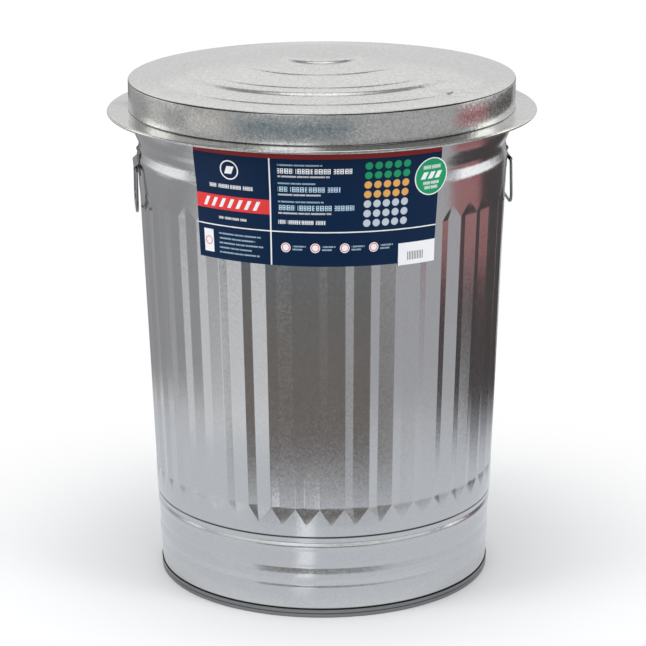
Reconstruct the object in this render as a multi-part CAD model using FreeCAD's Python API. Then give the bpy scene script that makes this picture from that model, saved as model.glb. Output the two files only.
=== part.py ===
"""Galvanized trash can with a lift-off lid and two wire bails.

Millimetres, +Z up, origin on the floor at the middle of the base. The front is -Y and
the two bails are on +X and -X. The can is a rolled sheet with forty-five tapered flutes
whose ends run out to points, swaged rings above the base, a necked shoulder and a rim
that is curled over a wire. The base is a recessed pan, folded round the foot of the can.
"""
import FreeCAD, Part
import math
import os

from FreeCAD import Vector

# ---- driving dimensions ---------------------------------------------------------------
sheet = 0.55                    # galvanized sheet of the can, lid and base

# can
can_height = 680.7              # floor to the top of the curled rim
base_radius = 225.0             # cone of the flute crests, carried down to the floor
shoulder_radius = 246.9         # the same cone at the shoulder crease
shoulder_below_rim = 103.3
neck_below_rim = 84.0
neck_depth = 3.0                # how far the neck lies inside the shoulder crease
neck_bend = 5.0                 # half height of the round of the neck
neck_lead = 0.7                 # how far the shoulder still is from the neck's bottom there
neck_flare = 1.6                # how far the flare has opened at the top of that round
collar_below_rim = 64.5         # where the flare has turned into the upright collar
flare_bend = 5.5                # height of the round between flare and collar
flare_lead = 1.2                # how far the flare still is from the collar below that round
rim_overhang = 9.3              # outside of the curled rim over the shoulder crease
rim_wire_diameter = 4.0
wire_fit = 0.05                 # between the rim wire and the sheet curled over it
rim_curl_turn = 320.0           # degrees of curl

# flutes
flute_count = 45
flute_depth = 2.45              # at mid height, crest to valley
flute_narrow_share = 0.356      # share of the pitch that the narrow facet takes
flute_tip_share = 0.46          # where across the pitch a pointed end lies
flute_start = 152.3             # full depth from here, measured from the floor
flute_tip_drop = 22.8           # from the full section down to the lower tip
flute_end_below_rim = 152.7     # full depth up to here
flute_tip_rise = 19.8
crest_land = 0.25               # the crests lie this far inside the smooth cone
crest_phase = 1.1               # degrees, one crest line, from the front towards +X
cutter_reach = 1.6              # a flute's wedge goes this many times past its crest lines
cutter_back = 1.06              # and its back lies this many times further out than they do

# swaged rings above the base: height from the floor, and inset from the cone
foot_band = ((13.8, 1.2), (40.5, 1.4))
lower_groove = (45.5, 2.1)
lower_swell = (57.0, 0.2)
upper_groove = (69.7, 1.85)
plain_band = ((75.5, 1.15), (92.4, 1.7))
bead_crown = (98.4, 0.3)
bead_top = (105.3, 2.4)
ring_crease = 112.2

# side seam at the back, a grooved lock seam
seam_width = 9.0
seam_rise = 0.8
seam_end_gap = 4.0              # from the strip's ends to the rings and the shoulder crease

# base pan
pan_recess = 14.0               # floor to the pan's top face
pan_fold_height = 11.0          # the fold up the outside of the can's foot
pan_fold_layers = 2             # layers of sheet in that fold
pan_seat = 0.03                 # between the can's foot and the fold
pan_bend = 2.0
pan_ring_radius = 150.0         # stiffening ring pressed into the pan
pan_ring_width = 16.0
pan_ring_height = 3.0

# lid
lid_clearance = 0.35            # radial, between the curled rim and the lid's skirt
lid_seat = 0.30                 # between the rim's top and the crown that rests on it
lid_skirt_height = 41.1         # brim to the lid's edge
lid_edge_bend = 2.5
lid_brim_width = 28.4           # from the skirt to the outside of the rolled edge
lid_brim_roll = 4.4             # diameter of the rolled edge
lid_brim_bend = 1.6
crown_slope = 0.079             # rise of the plain outer ring of the crown, per mm inwards
crown_rings = (                 # radius and height over the lid's edge, going inwards
    (219.5, 3.0), (216.5, 3.0), (187.5, 8.2), (182.0, 11.6), (167.5, 14.6),
    (165.0, 14.8), (113.0, 20.6), (110.5, 22.0), (56.5, 24.8), (51.5, 28.0),
)
crown_top = 28.9                # the middle of the crown over the lid's edge
crown_flat_radius = 37.5        # the almost flat middle
crown_flat_drop = 0.3

# handles
bracket_width = 62.0
bracket_sheet = 0.8
bracket_seat = 0.1              # between the can's wall and the bracket's plate
bracket_top_above_shoulder = 12.0
bracket_foot_below_shoulder = 19.5
bracket_blank = 2.0             # plate and hood start this deep in the wall, then are cut by it
hood_root_below_shoulder = 3.6
hood_wrap = -100.0              # degrees, the end of the hood's curl under the bail's bar
pivot_below_shoulder = 9.9
bail_wire = 3.8
bail_play = 0.3                 # between the bail's bar and the sheet round it
bail_drop = 57.2                # pivot to the middle of the bottom bar
bail_bottom_half_width = 44.5
bail_corner = 15.0
bail_shoulder = 5.5
bail_end_clearance = 5.6        # from the bracket's end to the corner of the bail's wire
bail_butt_gap = 1.0             # the two ends of the wire meet inside the hood
rivet_diameter = 4.0
rivet_head = 7.0
rivet_head_height = 2.0
rivet_tail = 6.4
rivet_tail_height = 1.2
rivet_fit = 0.05
rivet_pitch = 54.6
rivet_above_shoulder = 5.4
rivet_drill = 20.0              # each hole is drilled this far to both sides of the wall

# paper label and the two stickers on it
label_left = -45.8              # degrees from the front towards +X
label_right = 30.6
label_top_below_rim = 48.0
label_height = 150.2
label_paper = 0.30
label_seat = 0.15
label_lead = 1.0                # above the collar's bend, where the label turns upright
dot_radius = 24.7
dot_angle = 28.0
dot_below_rim = 89.9
patch_left = 17.4
patch_right = 30.0
patch_below_label = 3.9
patch_height = 29.1
sticker_paper = 0.15
dot_margin = 2.0                # the round sticker is punched from a strip this much larger

# ---- worked out from them -------------------------------------------------------------
shoulder_z = can_height - shoulder_below_rim
neck_z = can_height - neck_below_rim
collar_z = can_height - collar_below_rim
flute_end = can_height - flute_end_below_rim
rim_radius = shoulder_radius + rim_overhang
curl_radius = rim_wire_diameter / 2 + wire_fit + sheet
curl_r = rim_radius - curl_radius
curl_z = can_height - curl_radius
collar_r = curl_r - curl_radius + sheet
skirt_inner = rim_radius + lid_clearance
skirt_outer = skirt_inner + sheet
lid_brim_radius = skirt_outer + lid_brim_width
lid_edge_z = can_height + lid_seat + sheet - crown_slope * (skirt_outer - curl_r)
brim_z = lid_edge_z - lid_skirt_height
label_top = can_height - label_top_below_rim
label_bottom = label_top - label_height
patch_bottom = label_bottom - patch_below_label


def cone(z):
    """Radius of the smooth cone that the flute crests and the plain bands lie on."""
    return base_radius + (shoulder_radius - base_radius) * z / shoulder_z


def inset(height_and_inset):
    """Profile point (r, z) of a height and its inset from the cone."""
    z, depth = height_and_inset
    return cone(z) - depth, z


def outline(start, steps):
    """Closed wire in the XZ plane: a step is an end point, or (middle, end) of an arc."""
    edges = []
    here = Vector(start[0], 0, start[1])
    for step in steps + [start]:
        if isinstance(step[0], tuple):
            middle = Vector(step[0][0], 0, step[0][1])
            end = Vector(step[1][0], 0, step[1][1])
            edges.append(Part.Arc(here, middle, end).toShape())
        else:
            end = Vector(step[0], 0, step[1])
            if here.distanceToPoint(end) > 1e-6:
                edges.append(Part.LineSegment(here, end).toShape())
        here = end
    return Part.Wire(edges)


def on_circle(centre, radius, degrees):
    """Profile point on a circle, by its angle from outwards (+r) towards up."""
    turn = math.radians(degrees)
    return centre[0] + radius * math.cos(turn), centre[1] + radius * math.sin(turn)


def arc(centre, radius, first, last):
    """Outline step round a centre, from the point at the first angle to the last."""
    return on_circle(centre, radius, (first + last) / 2), on_circle(centre, radius, last)


def tangent_angle(point, centre, radius):
    """Angle on a circle where the line from a point inside and above runs on to it."""
    across, up = point[0] - centre[0], point[1] - centre[1]
    away = math.hypot(across, up)
    return math.degrees(math.atan2(up, across) - math.acos(radius / away))


def turned(start, steps, first=0.0, sweep=360.0):
    """Solid turned about Z from a closed outline, from one angle over a sweep."""
    face = Part.Face(outline(start, steps))
    face.rotate(Vector(), Vector(0, 0, 1), first)
    return face.revolve(Vector(), Vector(0, 0, 1), sweep)


def polar(radius, degrees, z):
    """Point at a radius and an angle from the front (-Y) towards +X."""
    turn = math.radians(degrees)
    return Vector(radius * math.sin(turn), -radius * math.cos(turn), z)


def polyhedron(faces):
    """Solid bounded by flat faces, each a list of points."""
    shell = Part.Shell([Part.Face(Part.makePolygon(face + [face[0]])) for face in faces])
    solid = Part.Solid(shell)
    if solid.Volume < 0:
        solid.reverse()
    return solid


# ---- can ------------------------------------------------------------------------------
def can_profile(skin):
    """Steps of the can's outline from its foot up, a distance of skin inside its outside."""
    def at(point):
        return point[0] - skin, point[1]

    neck_r = shoulder_radius - neck_depth
    return [
        at(inset(foot_band[0])), at(inset(foot_band[1])), at(inset(lower_groove)),
        (at(inset(lower_swell)), at(inset(upper_groove))),
        at(inset(plain_band[0])), at(inset(plain_band[1])),
        (at(inset(bead_crown)), at(inset(bead_top))),
        at((cone(ring_crease), ring_crease)),
        at((shoulder_radius, shoulder_z)),
        at((neck_r + neck_lead, neck_z - neck_bend)),
        (at((neck_r, neck_z)), at((neck_r + neck_flare, neck_z + neck_bend))),
        at((collar_r - flare_lead, collar_z - flare_bend)),
        (at((collar_r - flare_lead / 4, collar_z - flare_bend / 2)), at((collar_r, collar_z))),
        at((collar_r, curl_z)),
    ]


def can_core(skin):
    """Solid of revolution up to the can's outside, or to its inside for a skin."""
    foot_r = inset(foot_band[0])[0] - skin
    foot_z = sheet + pan_seat
    return turned((0, foot_z), [(foot_r, foot_z)] + can_profile(skin) + [(0, curl_z)])


def flute_cutter(valley, skin):
    """Wedge that cuts one flute with its two pointed ends, valley in degrees."""
    pitch = 360.0 / flute_count
    ratio = flute_depth / cone((flute_start + flute_end) / 2)
    left = valley - flute_narrow_share * pitch
    right = left + pitch
    tip = left + flute_tip_share * pitch

    def crest(z):
        return cone(z) - crest_land - skin

    ends = []
    for z, tip_z in ((flute_start, flute_start - flute_tip_drop),
                     (flute_end, flute_end + flute_tip_rise)):
        keel = polar(crest(z) * (1 - ratio), valley, z)
        side_l = keel + (polar(crest(z), left, z) - keel) * cutter_reach
        side_r = keel + (polar(crest(z), right, z) - keel) * cutter_reach
        point = keel + (polar(cone(tip_z) - skin, tip, tip_z) - keel) * cutter_reach
        ridge = polar(crest(z) * cutter_back, valley, z)
        ends.append((keel, side_l, side_r, point, ridge))
    (k1, l1, r1, p1, m1), (k2, l2, r2, p2, m2) = ends
    return polyhedron([
        [k1, k2, l2, l1], [k1, r1, r2, k2],
        [k1, l1, p1], [k1, p1, r1], [k2, p2, l2], [k2, r2, p2],
        [l1, l2, m2, m1], [m1, m2, r2, r1],
        [l1, m1, p1], [m1, r1, p1], [l2, p2, m2], [m2, p2, r2],
    ])


def fluted(core, skin):
    """Core with every flute cut into it."""
    pitch = 360.0 / flute_count
    first = crest_phase + flute_narrow_share * pitch
    return core.cut([flute_cutter(first + pitch * n, skin) for n in range(flute_count)])


def rim_curl():
    """Sheet curled outwards and down round the rim wire, from the collar's top edge."""
    centre = (curl_r, curl_z)
    inner = curl_radius - sheet
    end = 180.0 - rim_curl_turn
    return turned(on_circle(centre, curl_radius, 180.0), [
        arc(centre, curl_radius, 180.0, end), on_circle(centre, inner, end),
        arc(centre, inner, end, 180.0),
    ])


def side_seam():
    """Lock seam up the back, a flat strip along one crest line."""
    pitch = 360.0 / flute_count
    angle = crest_phase + pitch * round((180.0 - crest_phase) / pitch)
    low, high = ring_crease + seam_end_gap, shoulder_z - seam_end_gap

    def around(out):
        corners = ((low, -1), (low, 1), (high, 1), (high, -1))
        return [Vector(side * seam_width / 2, -(cone(z) + out), z) for z, side in corners]

    inner = around(-sheet / 2)
    outer = around(seam_rise)
    sides = [[inner[n], inner[(n + 1) % 4], outer[(n + 1) % 4], outer[n]] for n in range(4)]
    strip = polyhedron([inner, outer] + sides)
    strip.rotate(Vector(), Vector(0, 0, 1), angle)
    return strip


def rivet_places():
    """Angle of each rivet of the +X bracket, in degrees about Z from +X."""
    spread = math.degrees(math.asin(rivet_pitch / 2 / shoulder_radius))
    return -spread, spread


def rivet_z():
    """Height of the rivets."""
    return shoulder_z + rivet_above_shoulder


def shoulder_slope():
    """How much the radius shrinks per mm up the shoulder, above its crease."""
    return (neck_depth - neck_lead) / (neck_z - neck_bend - shoulder_z)


def rivet_holes(degrees_from_x):
    """Cylinders that clear the rivets of the bracket at an angle from +X."""
    holes = []
    for spread in rivet_places():
        start = Vector(shoulder_radius - rivet_drill, 0, rivet_z())
        hole = Part.makeCylinder(rivet_diameter / 2 + rivet_fit, 2 * rivet_drill, start,
                                 Vector(1, 0, 0))
        hole.rotate(Vector(), Vector(0, 0, 1), degrees_from_x + spread)
        holes.append(hole)
    return holes


def body_shell():
    """Fluted and swaged wall of one sheet, with its rim curl, side seam and rivet holes."""
    shell = fluted(can_core(0.0), 0.0).cut(fluted(can_core(sheet), sheet))
    shell = shell.fuse([rim_curl(), side_seam()])
    return shell.cut(rivet_holes(0) + rivet_holes(180)).removeSplitter()


def rim_wire():
    """Wire that the rim is curled over."""
    return Part.makeTorus(curl_r, rim_wire_diameter / 2, Vector(0, 0, curl_z))


# ---- base -----------------------------------------------------------------------------
def bottom_pan():
    """Recessed disc, its wall down inside the can's foot and folded up round it."""
    foot_out = inset(foot_band[0])[0]
    wall_out = foot_out - sheet - pan_seat
    wall_in = wall_out - sheet
    fold_in = foot_out + pan_seat
    fold_out = fold_in + pan_fold_layers * sheet
    fold_middle = ((fold_in + fold_out) / 2, pan_fold_height + sheet / 2)
    top = pan_recess
    under = top - sheet
    corner = (wall_out - pan_bend, top - pan_bend)
    foot = (fold_out - sheet, sheet)
    ring_in = pan_ring_radius - pan_ring_width / 2
    ring_out = pan_ring_radius + pan_ring_width / 2
    return turned((0, top), [
        (ring_in, top), ((pan_ring_radius, top + pan_ring_height), (ring_out, top)),
        (corner[0], top), arc(corner, pan_bend, 90, 0),
        (wall_out, sheet), (fold_in, sheet), (fold_in, pan_fold_height),
        (fold_middle, (fold_out, pan_fold_height)),
        (fold_out, foot[1]), arc(foot, sheet, 0, -90),
        (wall_in, 0), (wall_in, corner[1]), arc(corner, pan_bend - sheet, 0, 90),
        (ring_out, under), ((pan_ring_radius, under + pan_ring_height), (ring_in, under)),
        (0, under),
    ])


# ---- lid ------------------------------------------------------------------------------
def crown_steps(down):
    """Crown from the middle out to the plain ring, lowered by a distance."""
    steps = [(crown_flat_radius, lid_edge_z + crown_top - crown_flat_drop - down)]
    for radius, rise in reversed(crown_rings):
        steps.append((radius, lid_edge_z + rise - down))
    return steps


def lid():
    """Ringed crown, upright skirt and flat brim with a rolled edge, in one sheet."""
    top = lid_edge_z + crown_slope * lid_edge_bend
    shoulder = (skirt_outer - lid_edge_bend, top - lid_edge_bend)
    fillet = (skirt_outer + lid_brim_bend, brim_z + lid_brim_bend)
    roll = lid_brim_roll / 2
    hollow = roll - sheet
    edge = (lid_brim_radius - roll, brim_z - roll)
    outside = crown_steps(0.0) + [
        (shoulder[0], top), arc(shoulder, lid_edge_bend, 90, 0),
        (skirt_outer, fillet[1]), arc(fillet, lid_brim_bend, 180, 270),
        (edge[0], brim_z), arc(edge, roll, 90, -45), arc(edge, roll, -45, -180),
    ]
    inside = [
        on_circle(edge, hollow, -180), arc(edge, hollow, -180, -45), arc(edge, hollow, -45, 90),
        (fillet[0], brim_z - sheet), arc(fillet, lid_brim_bend + sheet, 270, 180),
        (skirt_inner, shoulder[1]), arc(shoulder, lid_edge_bend - sheet, 0, 90),
    ]
    under = list(reversed(crown_steps(sheet)))
    middle = lid_edge_z + crown_top
    return turned((0, middle), outside + inside + under + [(0, middle - sheet)])


# ---- handles --------------------------------------------------------------------------
def pivot_z():
    """Height of the bail's bar."""
    return shoulder_z - pivot_below_shoulder


def pivot_x():
    """Distance of the bail's bar from the can's axis."""
    return cone(pivot_z()) + bracket_sheet + bail_play + bail_wire / 2


def bracket_plate():
    """Back plate that follows the wall, before the wall is cut out of it."""
    low = shoulder_z - bracket_foot_below_shoulder
    high = shoulder_z + bracket_top_above_shoulder
    high_r = shoulder_radius - shoulder_slope() * (high - shoulder_z)
    ring = turned((cone(low) - bracket_blank, low), [
        (cone(low) + bracket_sheet, low), (shoulder_radius + bracket_sheet, shoulder_z),
        (high_r + bracket_sheet, high), (high_r - bracket_blank, high),
    ])
    corner = Vector(0, -bracket_width / 2, low)
    slab = Part.makeBox(shoulder_radius + bracket_blank, bracket_width, high - low, corner)
    return ring.common(slab)


def bracket_hood():
    """Straight sheet that leaves the plate, passes over the bail's bar and curls under it."""
    bar = (pivot_x(), pivot_z())
    hollow = bail_wire / 2 + bail_play
    outer = hollow + bracket_sheet
    deep = shoulder_radius - bracket_blank
    root = (shoulder_radius, shoulder_z - hood_root_below_shoulder)
    root_under = (shoulder_radius, root[1] - bracket_sheet * math.sqrt(2))
    first = tangent_angle(root, bar, outer)
    last = tangent_angle(root_under, bar, hollow)
    face = Part.Face(outline((deep, root[1]), [
        root, on_circle(bar, outer, first), arc(bar, outer, first, hood_wrap),
        on_circle(bar, hollow, hood_wrap), arc(bar, hollow, hood_wrap, last),
        root_under, (deep, root_under[1]),
    ]))
    face.translate(Vector(0, -bracket_width / 2, 0))
    return face.extrude(Vector(0, bracket_width, 0))


def bracket():
    """Plate and hood in one sheet, clear of the wall behind and of the rivets."""
    wall = can_core(-bracket_seat)
    blank = bracket_plate().fuse(bracket_hood())
    return blank.cut([wall] + rivet_holes(0)).removeSplitter()


def bracket_rivets(plate, shell):
    """Two rivets: domed heads outside, shanks through plate and wall, tails inside."""
    wall_r = shoulder_radius - shoulder_slope() * rivet_above_shoulder
    seat = wall_r + bracket_sheet
    half = rivet_head / 2
    dome = (half ** 2 + rivet_head_height ** 2) / (2 * rivet_head_height)
    top = seat + rivet_head_height
    rim_angle = math.degrees(math.asin(half / dome))
    inside = wall_r - sheet - rivet_tail_height
    stem = rivet_diameter / 2
    under_head = wall_r + bracket_seat
    face = Part.Face(outline((inside, 0), [
        (inside, rivet_tail / 2), (wall_r, rivet_tail / 2), (wall_r, stem),
        (under_head, stem), (under_head, half), (seat, half),
        arc((top - dome, 0), dome, rim_angle, 0),
    ]))
    pin = face.revolve(Vector(), Vector(1, 0, 0), 360)
    pin.translate(Vector(0, 0, rivet_z()))
    rivets = []
    for spread in rivet_places():
        rivet = pin.copy()
        rivet.rotate(Vector(), Vector(0, 0, 1), spread)
        rivets.append(max(rivet.cut([plate, shell]).Solids, key=lambda solid: solid.Volume))
    return Part.makeCompound(rivets)


def bail():
    """Wire loop of the +X side, its two ends butted inside the hood."""
    x = pivot_x()
    z = pivot_z()
    shoulder = bracket_width / 2 + bail_end_clearance
    corners = [
        (bail_butt_gap / 2, 0.0, None),
        (shoulder, 0.0, bail_shoulder),
        (bail_bottom_half_width, -bail_drop, bail_corner),
        (-bail_bottom_half_width, -bail_drop, bail_corner),
        (-shoulder, 0.0, bail_shoulder),
        (-bail_butt_gap / 2, 0.0, None),
    ]
    points = [Vector(x, y, z + dz) for y, dz, _ in corners]
    edges = []
    here = points[0]
    for n in range(1, len(points)):
        corner = points[n]
        radius = corners[n][2]
        if radius is None:
            edges.append(Part.LineSegment(here, corner).toShape())
            break
        back = (here - corner).normalize()
        onward = (points[n + 1] - corner).normalize()
        half_angle = back.getAngle(onward) / 2
        tangent = radius / math.tan(half_angle)
        start = corner + back * tangent
        end = corner + onward * tangent
        towards = (back + onward).normalize()
        middle = corner + towards * (radius / math.sin(half_angle) - radius)
        edges.append(Part.LineSegment(here, start).toShape())
        edges.append(Part.Arc(start, middle, end).toShape())
        here = end
    path = Part.Wire(edges)
    section = Part.Wire(Part.makeCircle(bail_wire / 2, points[0], Vector(0, 1, 0)))
    return path.makePipeShell([section], True, False)


def turned_about(shape):
    """The same shape on the -X side."""
    other = shape.copy()
    other.rotate(Vector(), Vector(0, 0, 1), 180)
    return other


# ---- label and stickers ---------------------------------------------------------------
def label_face(distance, low, high):
    """Points up the label's plane: on the flute crests, then straight across the neck."""
    return [
        (cone(low) + distance, low), (shoulder_radius + distance, shoulder_z),
        (collar_r + distance, collar_z + label_lead), (collar_r + distance, high),
    ]


def paper(distance, thickness, low, high, left, right):
    """Sheet of paper on the label's plane between two angles from the front."""
    inner = label_face(distance, low, high)
    outer = label_face(distance + thickness, low, high)
    steps = inner[1:] + list(reversed(outer))
    return turned(inner[0], steps, left - 90.0, right - left)


def paper_label():
    """Wide label on the front, from the flutes up under the brim."""
    return paper(label_seat, label_paper, label_bottom, label_top, label_left, label_right)


def round_sticker():
    """Round sticker over the label's right edge."""
    on_label = label_seat + label_paper + label_seat
    centre_z = can_height - dot_below_rim
    half = dot_radius + dot_margin
    spread = math.degrees(math.asin(half / shoulder_radius))
    strip = paper(on_label, sticker_paper, centre_z - half, centre_z + half,
                  dot_angle - spread, dot_angle + spread)
    punch = Part.makeCylinder(dot_radius, 2 * shoulder_radius, Vector(0, 0, centre_z),
                              Vector(1, 0, 0))
    punch.rotate(Vector(), Vector(0, 0, 1), dot_angle - 90.0)
    return strip.common(punch)


def corner_sticker():
    """Small sticker across the label's bottom edge, near its right corner."""
    on_label = label_seat + label_paper + label_seat
    inner = [(cone(patch_bottom) + on_label, patch_bottom),
             (cone(patch_bottom + patch_height) + on_label, patch_bottom + patch_height)]
    outer = [(r + sticker_paper, z) for r, z in inner]
    return turned(inner[0], [inner[1], outer[1], outer[0]], patch_left - 90.0,
                  patch_right - patch_left)


# ---- write the parts ------------------------------------------------------------------
def main():
    """Write every part to its own file, with a line on each."""
    right_bracket = bracket()
    right_bail = bail()
    shell = body_shell()
    right_rivets = bracket_rivets(right_bracket, shell)
    parts = {
        "body_shell": shell,
        "rim_wire": rim_wire(),
        "bottom_pan": bottom_pan(),
        "lid": lid(),
        "handle_bracket_right": right_bracket,
        "handle_bracket_left": turned_about(right_bracket),
        "bracket_rivets_right": right_rivets,
        "bracket_rivets_left": turned_about(right_rivets),
        "bail_right": right_bail,
        "bail_left": turned_about(right_bail),
        "paper_label": paper_label(),
        "round_sticker": round_sticker(),
        "corner_sticker": corner_sticker(),
    }
    os.makedirs("parts", exist_ok=True)
    for name, shape in parts.items():
        box = shape.BoundBox
        print("%-22s solids %d valid %s volume %.0f  z %.1f..%.1f r %.1f" % (
            name, len(shape.Solids), shape.isValid(), shape.Volume, box.ZMin, box.ZMax,
            box.XMax))
        shape.exportStep("parts/%s.step" % name)


main()
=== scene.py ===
"""Looks of a galvanized trash can with a lift-off lid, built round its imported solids.

Metres, +Z up. The front is -Y and the two bails are on +X and -X. Sizes of the sheet parts
are kept in millimetres, as they are in the drawing, and turned into metres by their meshes.
"""

import logging
import math
from dataclasses import dataclass
from enum import Enum
from typing import Any, Sequence

import bmesh
import bpy
import numpy as np
from mathutils import Matrix, Vector, noise

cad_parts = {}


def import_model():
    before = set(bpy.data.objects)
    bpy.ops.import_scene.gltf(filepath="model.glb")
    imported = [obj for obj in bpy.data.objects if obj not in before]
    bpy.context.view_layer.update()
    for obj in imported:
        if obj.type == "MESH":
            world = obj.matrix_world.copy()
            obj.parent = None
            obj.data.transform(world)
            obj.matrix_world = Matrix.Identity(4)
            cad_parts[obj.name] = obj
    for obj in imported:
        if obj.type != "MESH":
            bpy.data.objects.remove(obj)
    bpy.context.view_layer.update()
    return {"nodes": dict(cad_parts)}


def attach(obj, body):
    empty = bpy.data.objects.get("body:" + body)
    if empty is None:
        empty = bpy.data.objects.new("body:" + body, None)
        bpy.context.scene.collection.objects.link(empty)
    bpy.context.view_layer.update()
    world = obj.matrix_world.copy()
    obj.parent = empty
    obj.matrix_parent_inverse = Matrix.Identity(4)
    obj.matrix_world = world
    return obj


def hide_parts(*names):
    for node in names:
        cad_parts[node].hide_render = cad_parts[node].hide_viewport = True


LOG = logging.getLogger("trash_can")
MM = 0.001
LABEL_SIZE = (329.0, 150.0)
PATCH_SIZE = (54.0, 29.1)

Mesh = bpy.types.Mesh
Material = bpy.types.Material
Socket = bpy.types.NodeSocket
Colour = tuple[float, float, float]
Outline = list[tuple[float, float]]
Grid = Sequence[Sequence[np.ndarray]]


# ---- node trees -----------------------------------------------------------------------
class Tree:
    """Adds nodes to a shader or geometry tree and links them."""

    def __init__(self, tree: bpy.types.NodeTree) -> None:
        """Args:
            tree: the tree that the nodes go into.
        """
        self.tree = tree

    def add(self, kind: str, inputs: dict[Any, Any] | None = None, **settings: Any) -> bpy.types.Node:
        """Add one node.

        Args:
            kind: the node's type.
            inputs: a value, or another node's output socket, for each input by name or index.
            settings: properties of the node.

        Returns:
            The new node.
        """
        node = self.tree.nodes.new(kind)
        for name, value in settings.items():
            setattr(node, name, value)
        for key, value in (inputs or {}).items():
            if isinstance(value, Socket):
                self.tree.links.new(value, node.inputs[key])
            else:
                node.inputs[key].default_value = value
        return node

    def math(self, operation: str, *values: Any, clamp: bool = False) -> Socket:
        """Result socket of a Math node on numbers or sockets."""
        node = self.add("ShaderNodeMath", dict(enumerate(values)), operation=operation, use_clamp=clamp)
        return node.outputs[0]

    def vector(self, operation: str, *values: Any) -> Socket:
        """Vector result of a Vector Math node on vectors or sockets."""
        return self.add("ShaderNodeVectorMath", dict(enumerate(values)), operation=operation).outputs[0]

    def mix(self, factor: Any, first: Any, second: Any) -> Socket:
        """Colour between two colours.

        Args:
            factor: share of the second colour.
            first: colour where the share is 0.
            second: colour where it is 1.

        Returns:
            The socket with the mixed colour.
        """
        node = self.add("ShaderNodeMix", data_type="RGBA")
        for socket, value in ((node.inputs[0], factor), (node.inputs[6], first), (node.inputs[7], second)):
            if isinstance(value, Socket):
                self.tree.links.new(value, socket)
            else:
                socket.default_value = value
        return node.outputs[2]


def rgba(colour: Colour) -> tuple[float, float, float, float]:
    """A colour with full alpha."""
    return (*colour, 1.0)


# ---- finishes -------------------------------------------------------------------------
@dataclass(frozen=True)
class Galvanizing:
    """Zinc on steel: crystals of a few millimetres that tilt the light and differ in tone.

    At each listed height the colour is darkened over a half width, both in millimetres, as painted shade in a
    fold or gap. The third number is the share of light that is left there.
    """

    name: str
    colour: Colour
    roughness: float = 0.09
    crystal: float = 2.6
    tilt: float = 0.02
    contrast: float = 0.03
    cloud: float = 0.03
    roughness_spread: float = 0.16
    shade_lines: tuple[tuple[float, float, float], ...] = ()

    def material(self) -> Material:
        """Material of this finish, on Object coordinates.

        Returns:
            The new material.
        """
        material = bpy.data.materials.new(self.name)
        material.use_nodes = True
        tree = Tree(material.node_tree)
        shader = material.node_tree.nodes["Principled BSDF"]
        place = tree.add("ShaderNodeTexCoord").outputs["Object"]
        crystals = tree.add("ShaderNodeTexVoronoi", {"Vector": place, "Scale": 1 / (self.crystal * MM)})
        grains = tree.add("ShaderNodeTexVoronoi",
                          {"Vector": place, "Scale": 2.7 / (self.crystal * MM), "Randomness": 1.0})
        clouds = tree.add("ShaderNodeTexNoise", {"Vector": place, "Scale": 9.0, "Detail": 4.0})
        channels = tree.add("ShaderNodeSeparateColor", {0: crystals.outputs["Color"]})
        fine = tree.add("ShaderNodeSeparateColor", {0: grains.outputs["Color"]})

        spread = tree.math("MULTIPLY_ADD", channels.outputs[0], 0.6,
                           tree.math("MULTIPLY", fine.outputs[0], 0.4))
        tone = tree.math("MULTIPLY_ADD", spread, 2 * self.contrast, 1 - self.contrast)
        cloudy = tree.math("MULTIPLY_ADD", clouds.outputs[0], 2 * self.cloud, 1 - self.cloud)
        scale = tree.math("MULTIPLY", tone, cloudy)
        height = tree.add("ShaderNodeSeparateXYZ", {0: place}).outputs[2]
        # painted shade: each band darkens the colour round one height, standing in for the shadow in a fold or
        # gap
        for level, half, left in self.shade_lines:
            off = tree.math("ABSOLUTE", tree.math("SUBTRACT", height, level * MM))
            unshaded = tree.add("ShaderNodeMapRange", {
                "Value": off, "From Min": half * 0.4 * MM, "From Max": half * MM, "To Min": left, "To Max": 1.0,
            }, clamp=True)
            scale = tree.math("MULTIPLY", scale, unshaded.outputs[0])
        base = tree.vector("SCALE", self.colour)
        tree.tree.links.new(scale, base.node.inputs["Scale"])
        tree.tree.links.new(base, shader.inputs["Base Color"])

        grain = tree.math("MULTIPLY_ADD", fine.outputs[1], 0.35,
                          tree.math("MULTIPLY", channels.outputs[1], 0.65))
        cloud_share = tree.math("MULTIPLY_ADD", clouds.outputs[0], 0.3, tree.math("MULTIPLY", grain, 0.85))
        rough = tree.math("MULTIPLY_ADD", cloud_share, self.roughness_spread, self.roughness, clamp=True)
        tree.tree.links.new(rough, shader.inputs["Roughness"])

        centre = tree.vector("SUBTRACT", crystals.outputs["Color"], (0.5, 0.5, 0.5))
        lean = tree.vector("SCALE", centre)
        lean.node.inputs["Scale"].default_value = self.tilt
        fine_centre = tree.vector("SUBTRACT", grains.outputs["Color"], (0.5, 0.5, 0.5))
        fine_lean = tree.vector("SCALE", fine_centre)
        fine_lean.node.inputs["Scale"].default_value = self.tilt * 0.7
        normal = tree.add("ShaderNodeNewGeometry").outputs["Normal"]
        leaning = tree.vector("ADD", normal, tree.vector("ADD", lean, fine_lean))
        tree.tree.links.new(tree.vector("NORMALIZE", leaning), shader.inputs["Normal"])
        shader.inputs["Metallic"].default_value = 1.0
        return material


class MarkShape(Enum):
    """Shapes that the printed matter is made of."""

    BAR = "bar"
    ROW = "row"
    DISC = "disc"
    DOTS = "dots"
    RING = "ring"


@dataclass(frozen=True)
class Mark:
    """One printed shape, in millimetres from the paper's lower left corner."""

    shape: MarkShape
    x: float
    y: float
    width: float
    height: float
    colour: Colour
    slant: float = 0.0


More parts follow.
